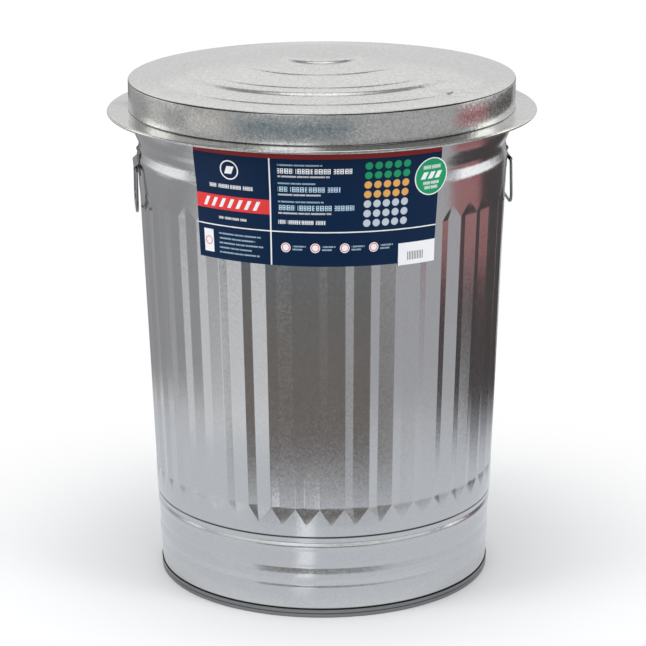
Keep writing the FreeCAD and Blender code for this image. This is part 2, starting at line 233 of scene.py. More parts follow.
@dataclass(frozen=True)
class PrintedPaper:
    """Coated paper with a ground colour and printed shapes, placed by its own UV map in mm.

    A row's blocks are given in shares of its height, and their groups in blocks.
    """

    name: str
    ground: Colour
    marks: tuple[Mark, ...] = ()
    roughness: float = 0.32
    sheen: float = 0.12
    dot_pitch: float = 12.4
    dot_radius: float = 4.8
    block_pitch: float = 0.8
    block_width: float = 0.78
    unevenness: float = 0.10
    group_pitch: float = 6.7
    group_width: float = 0.90
    print_edge: float = 3.0

    @staticmethod
    def out_of_box(tree: Tree, across: Socket, up: Socket, width: float, height: float) -> Socket:
        """How far a point lies outside a box round the middle, below 0 inside it.

        Args:
            tree: the material's tree.
            across: place across the mark, from its middle.
            up: place up the mark, from its middle.
            width: width of the box.
            height: height of the box.

        Returns:
            The distance in millimetres.
        """
        out_x = tree.math("SUBTRACT", tree.math("ABSOLUTE", across), width / 2)
        out_y = tree.math("SUBTRACT", tree.math("ABSOLUTE", up), height / 2)
        return tree.math("MAXIMUM", out_x, out_y)

    def out_of_blocks(self, tree: Tree, across: Socket, up: Socket, height: float) -> Socket:
        """How far a point lies outside the blocks of a row, each with two eyes.

        Args:
            tree: the material's tree.
            across: place along the row, from its middle.
            up: place up the row, from its middle.
            height: height of the row.

        Returns:
            The distance in millimetres.
        """
        step = height * self.block_pitch
        count = tree.math("MULTIPLY", across, 1 / step)
        uneven = tree.math("MULTIPLY_ADD", tree.math("SINE", tree.math("MULTIPLY", count, 2.3)),
                           self.unevenness, count)
        share = tree.math("FRACT", uneven)
        gap = tree.math("MULTIPLY", tree.math("SUBTRACT", share, self.block_width), step)
        groups = tree.math("MULTIPLY_ADD", tree.math("SINE", tree.math("MULTIPLY", count, 0.31)), 0.35,
                           tree.math("MULTIPLY", count, 1 / self.group_pitch))
        space = tree.math("MULTIPLY", tree.math("SUBTRACT", tree.math("FRACT", groups), self.group_width),
                          step * self.group_pitch)
        aside = tree.math("SUBTRACT", tree.math("ABSOLUTE", tree.math("SUBTRACT", share, 0.40)), 0.17)
        level = tree.math("SUBTRACT", tree.math("ABSOLUTE", up), height * 0.24)
        beyond = tree.math("SUBTRACT", tree.math("ABSOLUTE", level), height * 0.12)
        eye = tree.math("MAXIMUM", tree.math("MULTIPLY", aside, step), beyond)
        solid = tree.math("MAXIMUM", tree.math("MULTIPLY", eye, -1.0), gap)
        return tree.math("MAXIMUM", solid, space)

    def out_of_dots(self, tree: Tree, across: Socket, up: Socket, mark: Mark) -> Socket:
        """How far a point lies outside the nearest dot of a field of dots.

        Args:
            tree: the material's tree.
            across: place across the field, from its middle.
            up: place up the field, from its middle.
            mark: the field of dots.

        Returns:
            The distance in millimetres.
        """
        offs = []
        for part, size in ((across, mark.width), (up, mark.height)):
            phase = 0.5 * (size / self.dot_pitch % 2)
            cell = tree.math("FRACT", tree.math("MULTIPLY_ADD", part, 1 / self.dot_pitch, phase))
            offs.append(tree.math("MULTIPLY", tree.math("SUBTRACT", cell, 0.5), self.dot_pitch))
        squares = tree.math("MULTIPLY_ADD", offs[0], offs[0], tree.math("MULTIPLY", offs[1], offs[1]))
        return tree.math("SUBTRACT", tree.math("SQRT", squares), self.dot_radius)

    @staticmethod
    def out_of_disc(tree: Tree, across: Socket, up: Socket, mark: Mark) -> Socket:
        """How far a point lies outside a disc or a ring's line.

        Args:
            tree: the material's tree.
            across: place across the shape, from its middle.
            up: place up the shape, from its middle.
            mark: the disc or ring.

        Returns:
            The distance in millimetres.
        """
        squeezed = tree.math("MULTIPLY", up, mark.width / mark.height)
        squares = tree.math("ADD", tree.math("MULTIPLY", across, across),
                            tree.math("MULTIPLY", squeezed, squeezed))
        outside = tree.math("SUBTRACT", tree.math("SQRT", squares), mark.width / 2)
        if mark.shape is MarkShape.RING:
            line = 0.35 + mark.width * 0.02
            outside = tree.math("SUBTRACT", tree.math("ABSOLUTE", outside), line)
        return outside

    def mask(self, tree: Tree, place: Socket, mark: Mark) -> Socket:
        """How much of a mark covers a point.

        Args:
            tree: the material's tree.
            place: the point on the paper, in millimetres.
            mark: the printed shape.

        Returns:
            A socket that is 1 inside the mark and 0 outside, with a soft printed edge.
        """
        centre = (mark.x + mark.width / 2, mark.y + mark.height / 2, 0.0)
        parts = tree.add("ShaderNodeSeparateXYZ", {0: tree.vector("SUBTRACT", place, centre)})
        across, up = parts.outputs[0], parts.outputs[1]
        if mark.slant:
            across = tree.math("MULTIPLY_ADD", up, -mark.slant, across)
        if mark.shape in (MarkShape.DISC, MarkShape.RING):
            outside = self.out_of_disc(tree, across, up, mark)
        else:
            outside = self.out_of_box(tree, across, up, mark.width, mark.height)
        if mark.shape is MarkShape.ROW:
            outside = tree.math("MAXIMUM", outside, self.out_of_blocks(tree, across, up, mark.height))
        elif mark.shape is MarkShape.DOTS:
            outside = tree.math("MAXIMUM", outside, self.out_of_dots(tree, across, up, mark))
        return tree.math("MULTIPLY_ADD", outside, -self.print_edge, 0.5, clamp=True)

    def material(self) -> Material:
        """Material of this paper.

        Returns:
            The new material.
        """
        material = bpy.data.materials.new(self.name)
        material.use_nodes = True
        tree = Tree(material.node_tree)
        shader = material.node_tree.nodes["Principled BSDF"]
        place = tree.add("ShaderNodeUVMap", uv_map="paper").outputs[0]
        object_place = tree.add("ShaderNodeTexCoord").outputs["Object"]
        fibres = tree.add("ShaderNodeTexNoise", {"Vector": object_place, "Scale": 900.0, "Detail": 3.0})
        worn = tree.add("ShaderNodeTexNoise", {"Vector": object_place, "Scale": 14.0, "Detail": 5.0})
        ink = tree.mix(tree.math("MULTIPLY", worn.outputs[0], 0.10), rgba(self.ground),
                       rgba(tuple(min(1.0, c * 1.6 + 0.01) for c in self.ground)))
        for mark in self.marks:
            ink = tree.mix(self.mask(tree, place, mark), ink, rgba(mark.colour))
        tree.tree.links.new(ink, shader.inputs["Base Color"])
        rough = tree.math("MULTIPLY_ADD", fibres.outputs[0], 0.12, self.roughness - 0.06)
        tree.tree.links.new(rough, shader.inputs["Roughness"])
        bump = tree.add("ShaderNodeBump", {"Height": fibres.outputs[0], "Strength": 0.08, "Distance": 0.0002})
        tree.tree.links.new(bump.outputs[0], shader.inputs["Normal"])
        shader.inputs["Specular IOR Level"].default_value = self.sheen
        return material


NAVY: Colour = (0.002, 0.016, 0.052)
PAPER_WHITE: Colour = (0.82, 0.83, 0.85)
PALE_BLUE: Colour = (0.45, 0.62, 0.74)
SIGNAL_RED: Colour = (0.72, 0.045, 0.045)
DARK_RED: Colour = (0.22, 0.02, 0.02)
LEAF_GREEN: Colour = (0.012, 0.30, 0.125)
AMBER: Colour = (0.72, 0.38, 0.10)
STEEL_GREY: Colour = (0.50, 0.55, 0.62)


def label_marks() -> tuple[Mark, ...]:
    """Generic print of the label: bands, rules, rows of small blocks and plain round shapes.

    Returns:
        The marks, from the lowest layer up.
    """
    bar, row, disc, ring = MarkShape.BAR, MarkShape.ROW, MarkShape.DISC, MarkShape.RING
    width, height = LABEL_SIZE
    panel, strip, dot_pitch = 106.0, 10.0, PrintedPaper.dot_pitch
    marks = [
        Mark(bar, 0, height - strip, width, strip, DARK_RED),
        Mark(bar, 0, 66.0, panel, 19.0, SIGNAL_RED),
        Mark(bar, panel, 0, 1.8, height - strip, PAPER_WHITE),
        Mark(bar, 0, 44.0, width, 1.5, PAPER_WHITE),
    ]
    for n in range(7):
        marks.append(Mark(bar, 14.0 + 12.0 * n, 69.5, 5.0, 12.0, PAPER_WHITE, slant=0.5))
    marks.append(Mark(ring, panel / 2 - 12.0, 108.0, 24.0, 24.0, PAPER_WHITE))
    marks.append(Mark(bar, panel / 2 - 5.0, 115.0, 10.0, 10.0, PAPER_WHITE, slant=0.4))
    marks.append(Mark(row, 22.0, 95.0, 62.0, 5.0, PAPER_WHITE))
    marks.append(Mark(row, 34.0, 54.0, 40.0, 3.2, PAPER_WHITE))
    for n, length in enumerate((60.0, 52.0, 63.0, 47.0, 58.0)):
        marks.append(Mark(row, 33.0, 33.5 - 6.2 * n, length, 2.0, PALE_BLUE))
    marks.append(Mark(bar, 9.0, 8.0, 15.0, 30.0, PAPER_WHITE))
    marks.append(Mark(ring, 11.5, 18.0, 10.0, 10.0, SIGNAL_RED))
    for n, (length, colour) in enumerate(((92.0, PAPER_WHITE), (78.0, PALE_BLUE), (96.0, PALE_BLUE))):
        y = 121.0 - 24.0 * n
        marks.append(Mark(row, panel + 11.0, y, length, 6.6, colour))
        marks.append(Mark(row, panel + 11.0, y + 10.0, length * 0.6, 2.0, PALE_BLUE))
        marks.append(Mark(row, panel + 11.0, y - 5.0, length * 0.7, 2.2, PAPER_WHITE))
    marks.append(Mark(row, panel + 11.0, 55.0, 60.0, 5.0, PAPER_WHITE))
    for x in (panel + 14.0 + 38.0 * n for n in range(4)):
        marks.append(Mark(disc, x, 18.0, 12.5, 12.5, PAPER_WHITE))
        marks.append(Mark(ring, x + 1.6, 19.6, 9.3, 9.3, SIGNAL_RED))
        marks.append(Mark(row, x + 15.0, 25.0, 17.0, 2.0, PALE_BLUE))
        marks.append(Mark(row, x + 15.0, 21.0, 13.0, 2.0, PALE_BLUE))
    for y, rows, colour in ((111.6, 2, LEAF_GREEN), (86.8, 2, AMBER), (49.6, 3, STEEL_GREY)):
        marks.append(Mark(MarkShape.DOTS, 223.6, y, 5 * dot_pitch, rows * dot_pitch, colour))
    return tuple(marks)


class Finishes:
    """Every finish on the can, made once."""

    def __init__(self) -> None:
        """Make the materials."""
        white = PAPER_WHITE
        # painted shade: dark lines under the crease at 113 mm and in the gap at the top of the foot's fold
        self.wall = Galvanizing("galvanized_wall", (0.60, 0.605, 0.615), crystal=2.6,
                                shade_lines=((113.1, 1.9, 0.30), (11.9, 1.1, 0.05))).material()
        # painted shade: dark lines where the crown's edge meets the skirt and where the skirt meets the brim
        self.lid = Galvanizing(
            "galvanized_lid", (0.62, 0.62, 0.605), roughness=0.11, crystal=2.2, contrast=0.20, tilt=0.04,
            shade_lines=((680.0, 1.0, 0.04), (641.0, 0.8, 0.04))).material()
        # painted shade: the pan's steel is coloured far darker than the wall's, for the contact shadow round
        # the foot that its fold mirrors, and its lines darken the fold's top gap and lower band
        self.base = Galvanizing("galvanized_base", (0.24, 0.25, 0.26), roughness=0.25,
                                shade_lines=((10.9, 0.7, 0.05), (5.2, 1.0, 0.30))).material()
        # painted shade: the brackets' galvanized steel is coloured nearly black, for the shade under and inside
        # their hoods
        self.bracket = Galvanizing("bracket_steel", (0.17, 0.17, 0.175), roughness=0.24, crystal=1.2).material()
        self.rivet = Galvanizing("rivet_steel", (0.20, 0.20, 0.20), roughness=0.28, crystal=0.8).material()
        self.wire = Galvanizing("bail_wire", (0.27, 0.275, 0.28), roughness=0.20, crystal=1.0).material()
        self.label = PrintedPaper("label_print", NAVY, label_marks()).material()
        self.round = PrintedPaper("round_print", white, (
            Mark(MarkShape.DISC, -23.2, -23.2, 46.4, 46.4, LEAF_GREEN),
            Mark(MarkShape.ROW, -13.0, 10.0, 26.0, 4.6, white),
            *(Mark(MarkShape.BAR, x, -3.0, 7.0, 9.0, white, slant=0.5) for x in (-14.0, -3.5, 7.0)),
            Mark(MarkShape.ROW, -12.0, -10.5, 24.0, 4.0, white),
            Mark(MarkShape.ROW, -10.0, -16.5, 20.0, 4.0, white),
        )).material()
        stripes = [Mark(MarkShape.BAR, 13.0 + 2.4 * n, 6.0, 1.1, 11.0, (0.10, 0.10, 0.11)) for n in range(10)]
        self.patch = PrintedPaper("patch_print", white, tuple(stripes)).material()


# ---- meshes ---------------------------------------------------------------------------
@dataclass(frozen=True)
class Corner:
    """Corner of a turned outline in millimetres, and how far from it the bend begins."""

    r: float
    z: float
    bend: float = 0.0

    @property
    def place(self) -> np.ndarray:
        """The corner as a point."""
        return np.array((self.r, self.z))

    def moved(self, out: float = 0.0, up: float = 0.0) -> "Corner":
        """The same corner, moved."""
        return Corner(self.r + out, self.z + up, self.bend)


def rounded(corners: Sequence[Corner], steps: int = 4) -> Outline:
    """Points along an outline whose corners are bent.

    Args:
        corners: the outline's corners, in order.
        steps: how many straight pieces each bend is made of.

    Returns:
        Points (r, z) from the first corner to the last.
    """
    points = [tuple(corners[0].place)]
    for before, here, after in zip(corners, corners[1:], corners[2:]):
        back, onward = before.place - here.place, after.place - here.place
        reach = min(here.bend, 0.45 * np.linalg.norm(back), 0.45 * np.linalg.norm(onward))
        if reach <= 0:
            points.append(tuple(here.place))
            continue
        start = here.place + back / np.linalg.norm(back) * reach
        end = here.place + onward / np.linalg.norm(onward) * reach
        for n in range(steps + 1):
            t = n / steps
            points.append(tuple((1 - t) ** 2 * start + 2 * t * (1 - t) * here.place + t * t * end))
    points.append(tuple(corners[-1].place))
    return points


def circle(centre: tuple[float, float], radius: float, first: float, last: float, steps: int) -> Outline:
    """Points (r, z) on a circle from one angle to another, in degrees from outwards to up."""
    angles = np.radians(np.linspace(first, last, steps + 1))
    return [(centre[0] + radius * math.cos(a), centre[1] + radius * math.sin(a)) for a in angles]


def polar(radius: float, degrees: float, z: float) -> np.ndarray:
    """Point in millimetres at a radius and an angle from the front (-Y) towards +X."""
    turn = math.radians(degrees)
    return np.array((radius * math.sin(turn), -radius * math.cos(turn), z))


class Skin:
    """Collects grids of points in millimetres and turns them into one mesh in metres."""

    def __init__(self) -> None:
        """Start with no points."""
        self.points: list[np.ndarray] = []
        self.faces: list[tuple[int, ...]] = []
        self.uvs: dict[int, tuple[float, float]] = {}

    def grid(self, rows: Grid, uvs: Sequence[Outline] | None = None, flip: bool = False) -> None:
        """Add a grid of quads.

        Args:
            rows: rows of points, all of the same length.
            uvs: the paper's coordinates of the same points, if it has any.
            flip: turn the faces round.
        """
        first = len(self.points)
        width = len(rows[0])
        for i, row in enumerate(rows):
            for j, point in enumerate(row):
                if uvs is not None:
                    self.uvs[len(self.points)] = uvs[i][j]
                self.points.append(np.asarray(point, float))
        for i in range(len(rows) - 1):
            for j in range(width - 1):
                a = first + i * width + j
                quad = (a, a + 1, a + width + 1, a + width)
                self.faces.append(quad[::-1] if flip else quad)

    def mesh(self, name: str) -> Mesh:
        """The mesh in metres, not merged yet.

        Args:
            name: name of the mesh.

        Returns:
            The mesh, in metres.
        """
        mesh = bpy.data.meshes.new(name)
        mesh.from_pydata([tuple(p * MM) for p in self.points], [], self.faces)
        if self.uvs:
            layer = mesh.uv_layers.new(name="paper")
            for loop in mesh.loops:
                layer.data[loop.index].uv = self.uvs.get(loop.vertex_index, (0.0, 0.0))
        return mesh


def closed(mesh: Mesh, merge: float = 0.004 * MM, sharp: float = 48.0) -> Mesh:
    """Merge a mesh's seams, face it outwards, smooth it and log whether it is closed.

    Args:
        mesh: the mesh to finish.
        merge: points nearer than this become one.
        sharp: edges with a larger angle stay sharp, in degrees.

    Returns:
        The same mesh.
    """
    shape = bmesh.new()
    shape.from_mesh(mesh)
    bmesh.ops.remove_doubles(shape, verts=shape.verts, dist=merge)
    bmesh.ops.dissolve_degenerate(shape, edges=shape.edges, dist=merge / 10)
    bmesh.ops.delete(shape, geom=[edge for edge in shape.edges if not edge.link_faces], context="EDGES")
    if shape.calc_volume(signed=True) < 0:
        bmesh.ops.reverse_faces(shape, faces=shape.faces)
    open_edges = sum(1 for edge in shape.edges if not edge.is_manifold)
    volume = shape.calc_volume(signed=True)
    shape.to_mesh(mesh)
    shape.free()
    mesh.shade_smooth()
    mesh.set_sharp_from_angle(angle=math.radians(sharp))
    LOG.info("%s: %d faces, %.1f cm3, %d open edges", mesh.name, len(mesh.polygons), volume * 1e6, open_edges)
    return mesh


def turned(name: str, outline: Outline, segments: int = 240) -> Mesh:
    """Closed mesh turned about Z from a closed outline in millimetres.

    Args:
        name: name of the mesh.
        outline: radii and heights in millimetres, once round the section.
        segments: steps in a full turn.

    Returns:
        The closed mesh, in metres.
    """
    skin = Skin()
    ring = list(outline) + [outline[0]]
    angles = np.linspace(0.0, 360.0, segments + 1)
    skin.grid([[polar(r, angle, z) for angle in angles] for r, z in ring])
    return closed(skin.mesh(name))


def slab(name: str, outer: Grid, inner: Grid, uvs: Sequence[Outline] | None = None) -> Mesh:
    """Closed thin sheet between two grids of the same size.

    Args:
        name: the mesh's name.
        outer: rows of points on the outside.
        inner: rows of points behind them.
        uvs: the paper's coordinates of the points.

    Returns:
        The closed mesh.
    """
    skin = Skin()
    skin.grid(outer, uvs)
    skin.grid(inner, uvs, flip=True)
    for row in (0, -1):
        pair = [outer[row], inner[row]]
        skin.grid(pair, [uvs[row], uvs[row]] if uvs else None, flip=row == 0)
    for column in (0, -1):
        sides = [[line[column] for line in outer], [line[column] for line in inner]]
        places = [[line[column] for line in uvs]] * 2 if uvs else None
        skin.grid(sides, places, flip=column == -1)
    return closed(skin.mesh(name))


def piece(name: str, mesh: Mesh, material: Material, body: str, slot: str, *nodes: str) -> None:
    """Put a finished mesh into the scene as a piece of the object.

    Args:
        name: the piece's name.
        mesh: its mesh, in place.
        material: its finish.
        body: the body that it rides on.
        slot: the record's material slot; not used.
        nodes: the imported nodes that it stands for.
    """
    thing = bpy.data.objects.new(name, mesh)
    bpy.context.scene.collection.objects.link(thing)
    mesh.materials.clear()
    mesh.materials.append(material)
    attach(thing, body)
    if nodes:
        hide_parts(*nodes)
    LOG.info("piece %s on %s", name, body)


def ripple(mesh: Mesh, height: float, wave: float, seed: float) -> None:
    """Move a sheet up and down a little, as handling leaves it: both of its faces alike.

    Args:
        mesh: the mesh to move, in metres.
        height: the most that a point moves, in millimetres.
        wave: the length of the unevenness, in millimetres.
        seed: where in the noise the sheet is taken from.
    """
    start = Vector((seed, seed, seed))
    for vertex in mesh.vertices:
        vertex.co.z += noise.noise(vertex.co / (wave * MM) + start) * height * MM


class CopiesRound:
    """Geometry Nodes: copies of one piece round the Z axis, joined and made slightly uneven."""

    def __init__(self) -> None:
        """Build the tree with its named inputs."""
        group = bpy.data.node_groups.new("copies_round", "GeometryNodeTree")
        face = group.interface
        face.new_socket("Geometry", in_out="INPUT", socket_type="NodeSocketGeometry")
        kinds = {"Count": "Int", "Pitch": "Float", "Join": "Float", "Ripple": "Float", "Wave": "Float",
                 "Seed": "Float", "Finish": "Material"}
        self.names = {
            name: face.new_socket(name, in_out="INPUT", socket_type="NodeSocket" + kind).identifier
            for name, kind in kinds.items()
        }
        face.new_socket("Geometry", in_out="OUTPUT", socket_type="NodeSocketGeometry")
        tree = Tree(group)
        given = tree.add("NodeGroupInput").outputs
        index = tree.add("GeometryNodeInputIndex").outputs[0]
        angle = tree.math("RADIANS", tree.math("MULTIPLY", index, given["Pitch"]))
        turn = tree.add("ShaderNodeCombineXYZ", {"Z": angle}).outputs[0]
        rotation = tree.add("FunctionNodeEulerToRotation", {0: turn}).outputs[0]
        points = tree.add("GeometryNodePoints", {"Count": given["Count"]}).outputs[0]
        copies = tree.add("GeometryNodeInstanceOnPoints",
                          {"Points": points, "Instance": given["Geometry"], "Rotation": rotation}).outputs[0]
        real = tree.add("GeometryNodeRealizeInstances", {0: copies}).outputs[0]
        joined = tree.add("GeometryNodeMergeByDistance",
                          {"Geometry": real, "Distance": given["Join"]}).outputs[0]
        place = tree.add("GeometryNodeInputPosition").outputs[0]
        flat = tree.vector("MULTIPLY", place, (1.0, 1.0, 0.0))
        level = tree.add("ShaderNodeTexNoise", {"Vector": place, "W": given["Seed"], "Detail": 1.0},
                         noise_dimensions="4D")
        tree.tree.links.new(tree.math("DIVIDE", 1.0, given["Wave"]), level.inputs["Scale"])
        height = tree.math("MULTIPLY", tree.math("SUBTRACT", level.outputs[0], 0.5), given["Ripple"])
        offset = tree.vector("SCALE", tree.vector("NORMALIZE", flat))
        tree.tree.links.new(height, offset.node.inputs["Scale"])
        moved = tree.add("GeometryNodeSetPosition", {"Geometry": joined, "Offset": offset}).outputs[0]
        dressed = tree.add("GeometryNodeSetMaterial",
                           {"Geometry": moved, "Material": given["Finish"]}).outputs[0]
        tree.add("NodeGroupOutput", {"Geometry": dressed})
        self.group = group

    def make(self, name: str, mesh: Mesh, **values: Any) -> Mesh:
        """Run the tree on a mesh.

        Args:
            name: the new mesh's name.
            mesh: what is copied.
            values: the tree's inputs by name.

        Returns:
            A plain mesh of all the copies.
        """
        holder = bpy.data.objects.new(name + "_holder", mesh)
        bpy.context.scene.collection.objects.link(holder)
        modifier = holder.modifiers.new("copies", "NODES")
        modifier.node_group = self.group
        for key, value in values.items():
            modifier[self.names[key]] = value
        graph = bpy.context.evaluated_depsgraph_get()
        result = bpy.data.meshes.new_from_object(holder.evaluated_get(graph), depsgraph=graph)
        result.name = name
        holder.modifiers.remove(modifier)
        bpy.data.objects.remove(holder)
        return result


# ---- can ------------------------------------------------------------------------------
@dataclass
class CanWall:
    """Fluted and swaged wall of one sheet with its rim curl, in millimetres."""

    sheet: float = 0.55
    foot_radius: float = 225.0
    shoulder_radius: float = 246.9
    shoulder_z: float = 577.4
    collar_radius: float = 251.55
    rim_radius: float = 2.6
    rim_centre: tuple[float, float] = (253.6, 678.1)
    rim_turn: float = 320.0
    flutes: int = 45
    depth: float = 2.45
    narrow: float = 0.356
    tip_share: float = 0.46
    full: tuple[float, float] = (152.3, 528.0)
    tips: tuple[float, float] = (129.5, 547.8)
    ramp: float = 1.7
    crest_land: float = 0.25
    crest_angle: float = 1.1
    crease_z: float = 112.2
    bands: tuple[tuple[float, float, float], ...] = (
        (13.8, 1.2, 1.0), (41.2, 1.3, 1.0), (45.2, 2.2, 1.2), (57.0, -0.4, 30.0), (69.9, 2.1, 1.6),
        (74.9, 1.1, 1.2), (92.4, 1.7, 1.2), (98.4, -0.2, 30.0), (105.3, 2.4, 1.4), (112.2, 0.1, 0.8),
        (112.9, 1.3, 0.15), (113.3, 1.3, 0.15), (114.0, 0.0, 0.8),
    )
    shoulder_foot_z: float = 562.0
    neck: tuple[float, float] = (243.6, 596.2)
    collar_foot_z: float = 613.4
    seam_half: float = 4.5
    seam_rise: float = 0.8
    left_columns: tuple[float, ...] = (0.0, 0.09, 0.5, 0.91, 1.0)
    right_columns: tuple[float, ...] = (0.0, 0.05, 0.5, 0.95, 1.0)

    @property
    def pitch(self) -> float:
        """Angle of one flute, in degrees."""
        return 360.0 / self.flutes

    def cone(self, z: float) -> float:
        """Radius of the smooth cone that crests and plain bands lie on."""
        return self.foot_radius + (self.shoulder_radius - self.foot_radius) * z / self.shoulder_z

    def place(self, radius: float, share: float, z: float) -> np.ndarray:
        """Point at a share of the pitch after a crest."""
        return polar(radius, self.crest_angle + share * self.pitch, z)

    def plain_row(self, radius: float, z: float) -> list[np.ndarray]:
        """Row of points across one flute's width on a smooth band."""
        shares = [*np.linspace(0.0, self.tip_share, 5), *np.linspace(self.tip_share, 1.0, 5)[1:]]
        return [self.place(radius, share, z) for share in shares]

    def flute_row(self, z: float, end: int, run: float, skin: float) -> list[np.ndarray]:
        """Row of points across a flute.

        Args:
            z: the row's height.
            end: 0 for the lower end and 1 for the upper one.
            run: 0 where the flute is full, and 1 at its tip.
            skin: distance inside the wall's outer face.

        Returns:
            Points from the left edge over the valley to the right edge.
        """
        edge = self.cone(z) - self.crest_land * (1 - run) - skin
        left = self.place(edge, self.tip_share * run, z)
        right = self.place(edge, 1 - (1 - self.tip_share) * run, z)
        ratio = 1 - self.depth / self.cone(sum(self.full) / 2)
        if run:
            root = (self.cone(self.full[end]) - self.crest_land - skin) * ratio
            tip = self.cone(self.tips[end]) - skin
            rise = 1 - (1 - run) ** self.ramp
            share = self.narrow + (self.tip_share - self.narrow) * run
            keel = self.place(root + (tip - root) * rise, share, z)
        else:
            keel = self.place(edge * ratio, self.narrow, z)
        row = [left + (keel - left) * share for share in self.left_columns]
        return row + [keel + (right - keel) * share for share in self.right_columns[1:]]

    def beside_row(self, z: float, run: float, skin: float, left: bool) -> list[np.ndarray]:
        """Row of points on the plain wall beside a flute's pointed end.

        Args:
            z: height of the row.
            run: 0 where the flute's full section ends, 1 at its tip.
            skin: how far the face lies inside the outer one.
            left: the side of the flute that the row lies on.

        Returns:
            Points in the order of rising angle.
        """
        edge = self.cone(z) - self.crest_land * (1 - run) - skin
        gather = min(1.0, (1 - run) * 4)
        even = np.linspace(0.0, 1.0, 5)
        near = np.array((0.0, 0.4, 0.75, 0.92, 1.0))
        shares = even + (near - even) * gather
        if left:
            places = shares * self.tip_share * run
        else:
            places = 1 - shares[::-1] * (1 - self.tip_share) * run
        return [self.place(edge, share, z) for share in places]

    def tip_block(self, skin_grid: Skin, end: int, skin: float, steps: int, going_up: bool) -> None:
        """Add the pointed end of a flute and the wall on both sides of it.

        Args:
            skin_grid: the faces to add to.
            end: 0 for the lower end, 1 for the upper.
            skin: how far the face lies inside the outer one.
            steps: rows in the block.
            going_up: whether the rows go up.
        """
        start, tip = self.full[end], self.tips[end]
        runs = [n / steps for n in range(steps + 1)]
        if going_up == (end == 0):
            runs.reverse()
        rows = [(start + (tip - start) * run, run) for run in runs]
        skin_grid.grid([self.flute_row(z, end, run, skin) for z, run in rows])
        for left in (True, False):
            skin_grid.grid([self.beside_row(z, run, skin, left) for z, run in rows])

    def low_outline(self, skin: float) -> Outline:
        """Outline of the wall from its foot to the lower tips.

        Args:
            skin: how far the face lies inside the outer one.

        Returns:
            Radii and heights in millimetres.
        """
        first = self.bands[0]
        foot = Corner(self.cone(first[0]) - first[1], 0.6)
        corners = [Corner(self.cone(z) - inset, z, bend) for z, inset, bend in self.bands]
        top = Corner(self.cone(self.tips[0]), self.tips[0])
        return [(r - skin, z) for r, z in rounded([foot] + corners + [top])]

    def high_outline(self, skin: float) -> Outline:
        """Outline of the wall from the upper tips to the rim.

        Args:
            skin: how far the face lies inside the outer one.

        Returns:
            Radii and heights in millimetres.
        """
        corners = [
            Corner(self.cone(self.tips[1]), self.tips[1]),
            Corner(self.cone(self.shoulder_foot_z), self.shoulder_foot_z),
            Corner(self.shoulder_radius, self.shoulder_z, 3.5), Corner(*self.neck, 7.0),
            Corner(self.collar_radius - 0.1, self.collar_foot_z, 7.0), Corner(self.collar_radius, 630.0),
            Corner(self.collar_radius, self.rim_centre[1]),
        ]
        return [(r - skin, z) for r, z in rounded(corners, 5)]

    def sector(self) -> Mesh:
        """One flute's width of the wall, outside and inside.

        Returns:
            The sector's mesh, open at both of its edges.
        """
        skin = Skin()
        inside = self.sheet
        heights = np.linspace(self.full[0], self.full[1], 19)
        rows = [self.full[0], self.full[0] + 1.6, *heights[1:-1], self.full[1] - 1.6, self.full[1]]
        skin.grid([self.plain_row(r, z) for r, z in self.low_outline(0.0)])
        self.tip_block(skin, 0, 0.0, 8, True)
        skin.grid([self.flute_row(z, 0, 0.0, 0.0) for z in rows])
        self.tip_block(skin, 1, 0.0, 8, True)
        end = 180.0 - self.rim_turn
        hollow = circle(self.rim_centre, self.rim_radius - self.sheet, 180.0, end, 10)
        curl = circle(self.rim_centre, self.rim_radius, end, 180.0, 13)
        around = self.high_outline(0.0) + hollow + curl + self.high_outline(inside)[::-1]
        skin.grid([self.plain_row(r, z) for r, z in around])
        self.tip_block(skin, 1, inside, 3, False)
        skin.grid([self.flute_row(z, 0, 0.0, inside) for z in rows[::-3] + [rows[0]]])
        self.tip_block(skin, 0, inside, 3, False)
        low = self.low_outline(inside)[::-1]
        skin.grid([self.plain_row(r, z) for r, z in low + [self.low_outline(0.0)[0]]])
        return skin.mesh("flute_sector")

    def build(self, copies: CopiesRound, finish: Material) -> None:
        """Make the wall from copies of one sector and put it into the scene.

        Args:
            copies: the tree that copies a mesh round the can.
            finish: the material of the wall.
        """
        mesh = copies.make("can_wall", self.sector(), Count=self.flutes, Pitch=self.pitch, Join=0.01 * MM,
                           Ripple=0.5 * MM, Wave=90 * MM, Seed=3.0, Finish=finish)
        piece("can_wall", closed(mesh), finish, "can", "galvanized_body", "body_shell")

    def build_seam(self, finish: Material) -> None:
        """Make the lock seam: a flat raised strip up the back, along one crest.

        Args:
            finish: the material of the seam.
        """
        angle = self.crest_angle + self.pitch * round((180.0 - self.crest_angle) / self.pitch)
        half, rise = self.seam_half, self.seam_rise
        profile = ((-half, -0.2), (-half, 0.35), (-half + 0.5, rise), (-half + 2.2, rise), (0.0, rise + 0.05),
                   (half - 2.2, rise), (half - 0.5, rise), (half, 0.35), (half, -0.2))
        heights = np.linspace(self.crease_z + 4.0, self.shoulder_z - 4.0, 30)
        outer, inner = [], []
        for z in heights:
            across = [math.degrees(x / self.cone(z)) for x, _ in profile]
            outer.append([polar(self.cone(z) + y, angle + a, z) for (_, y), a in zip(profile, across)])
            inner.append([polar(self.cone(z) - 0.3, angle + a, z) for a in across])
        piece("side_seam", slab("side_seam", outer, inner), finish, "can", "galvanized_body")


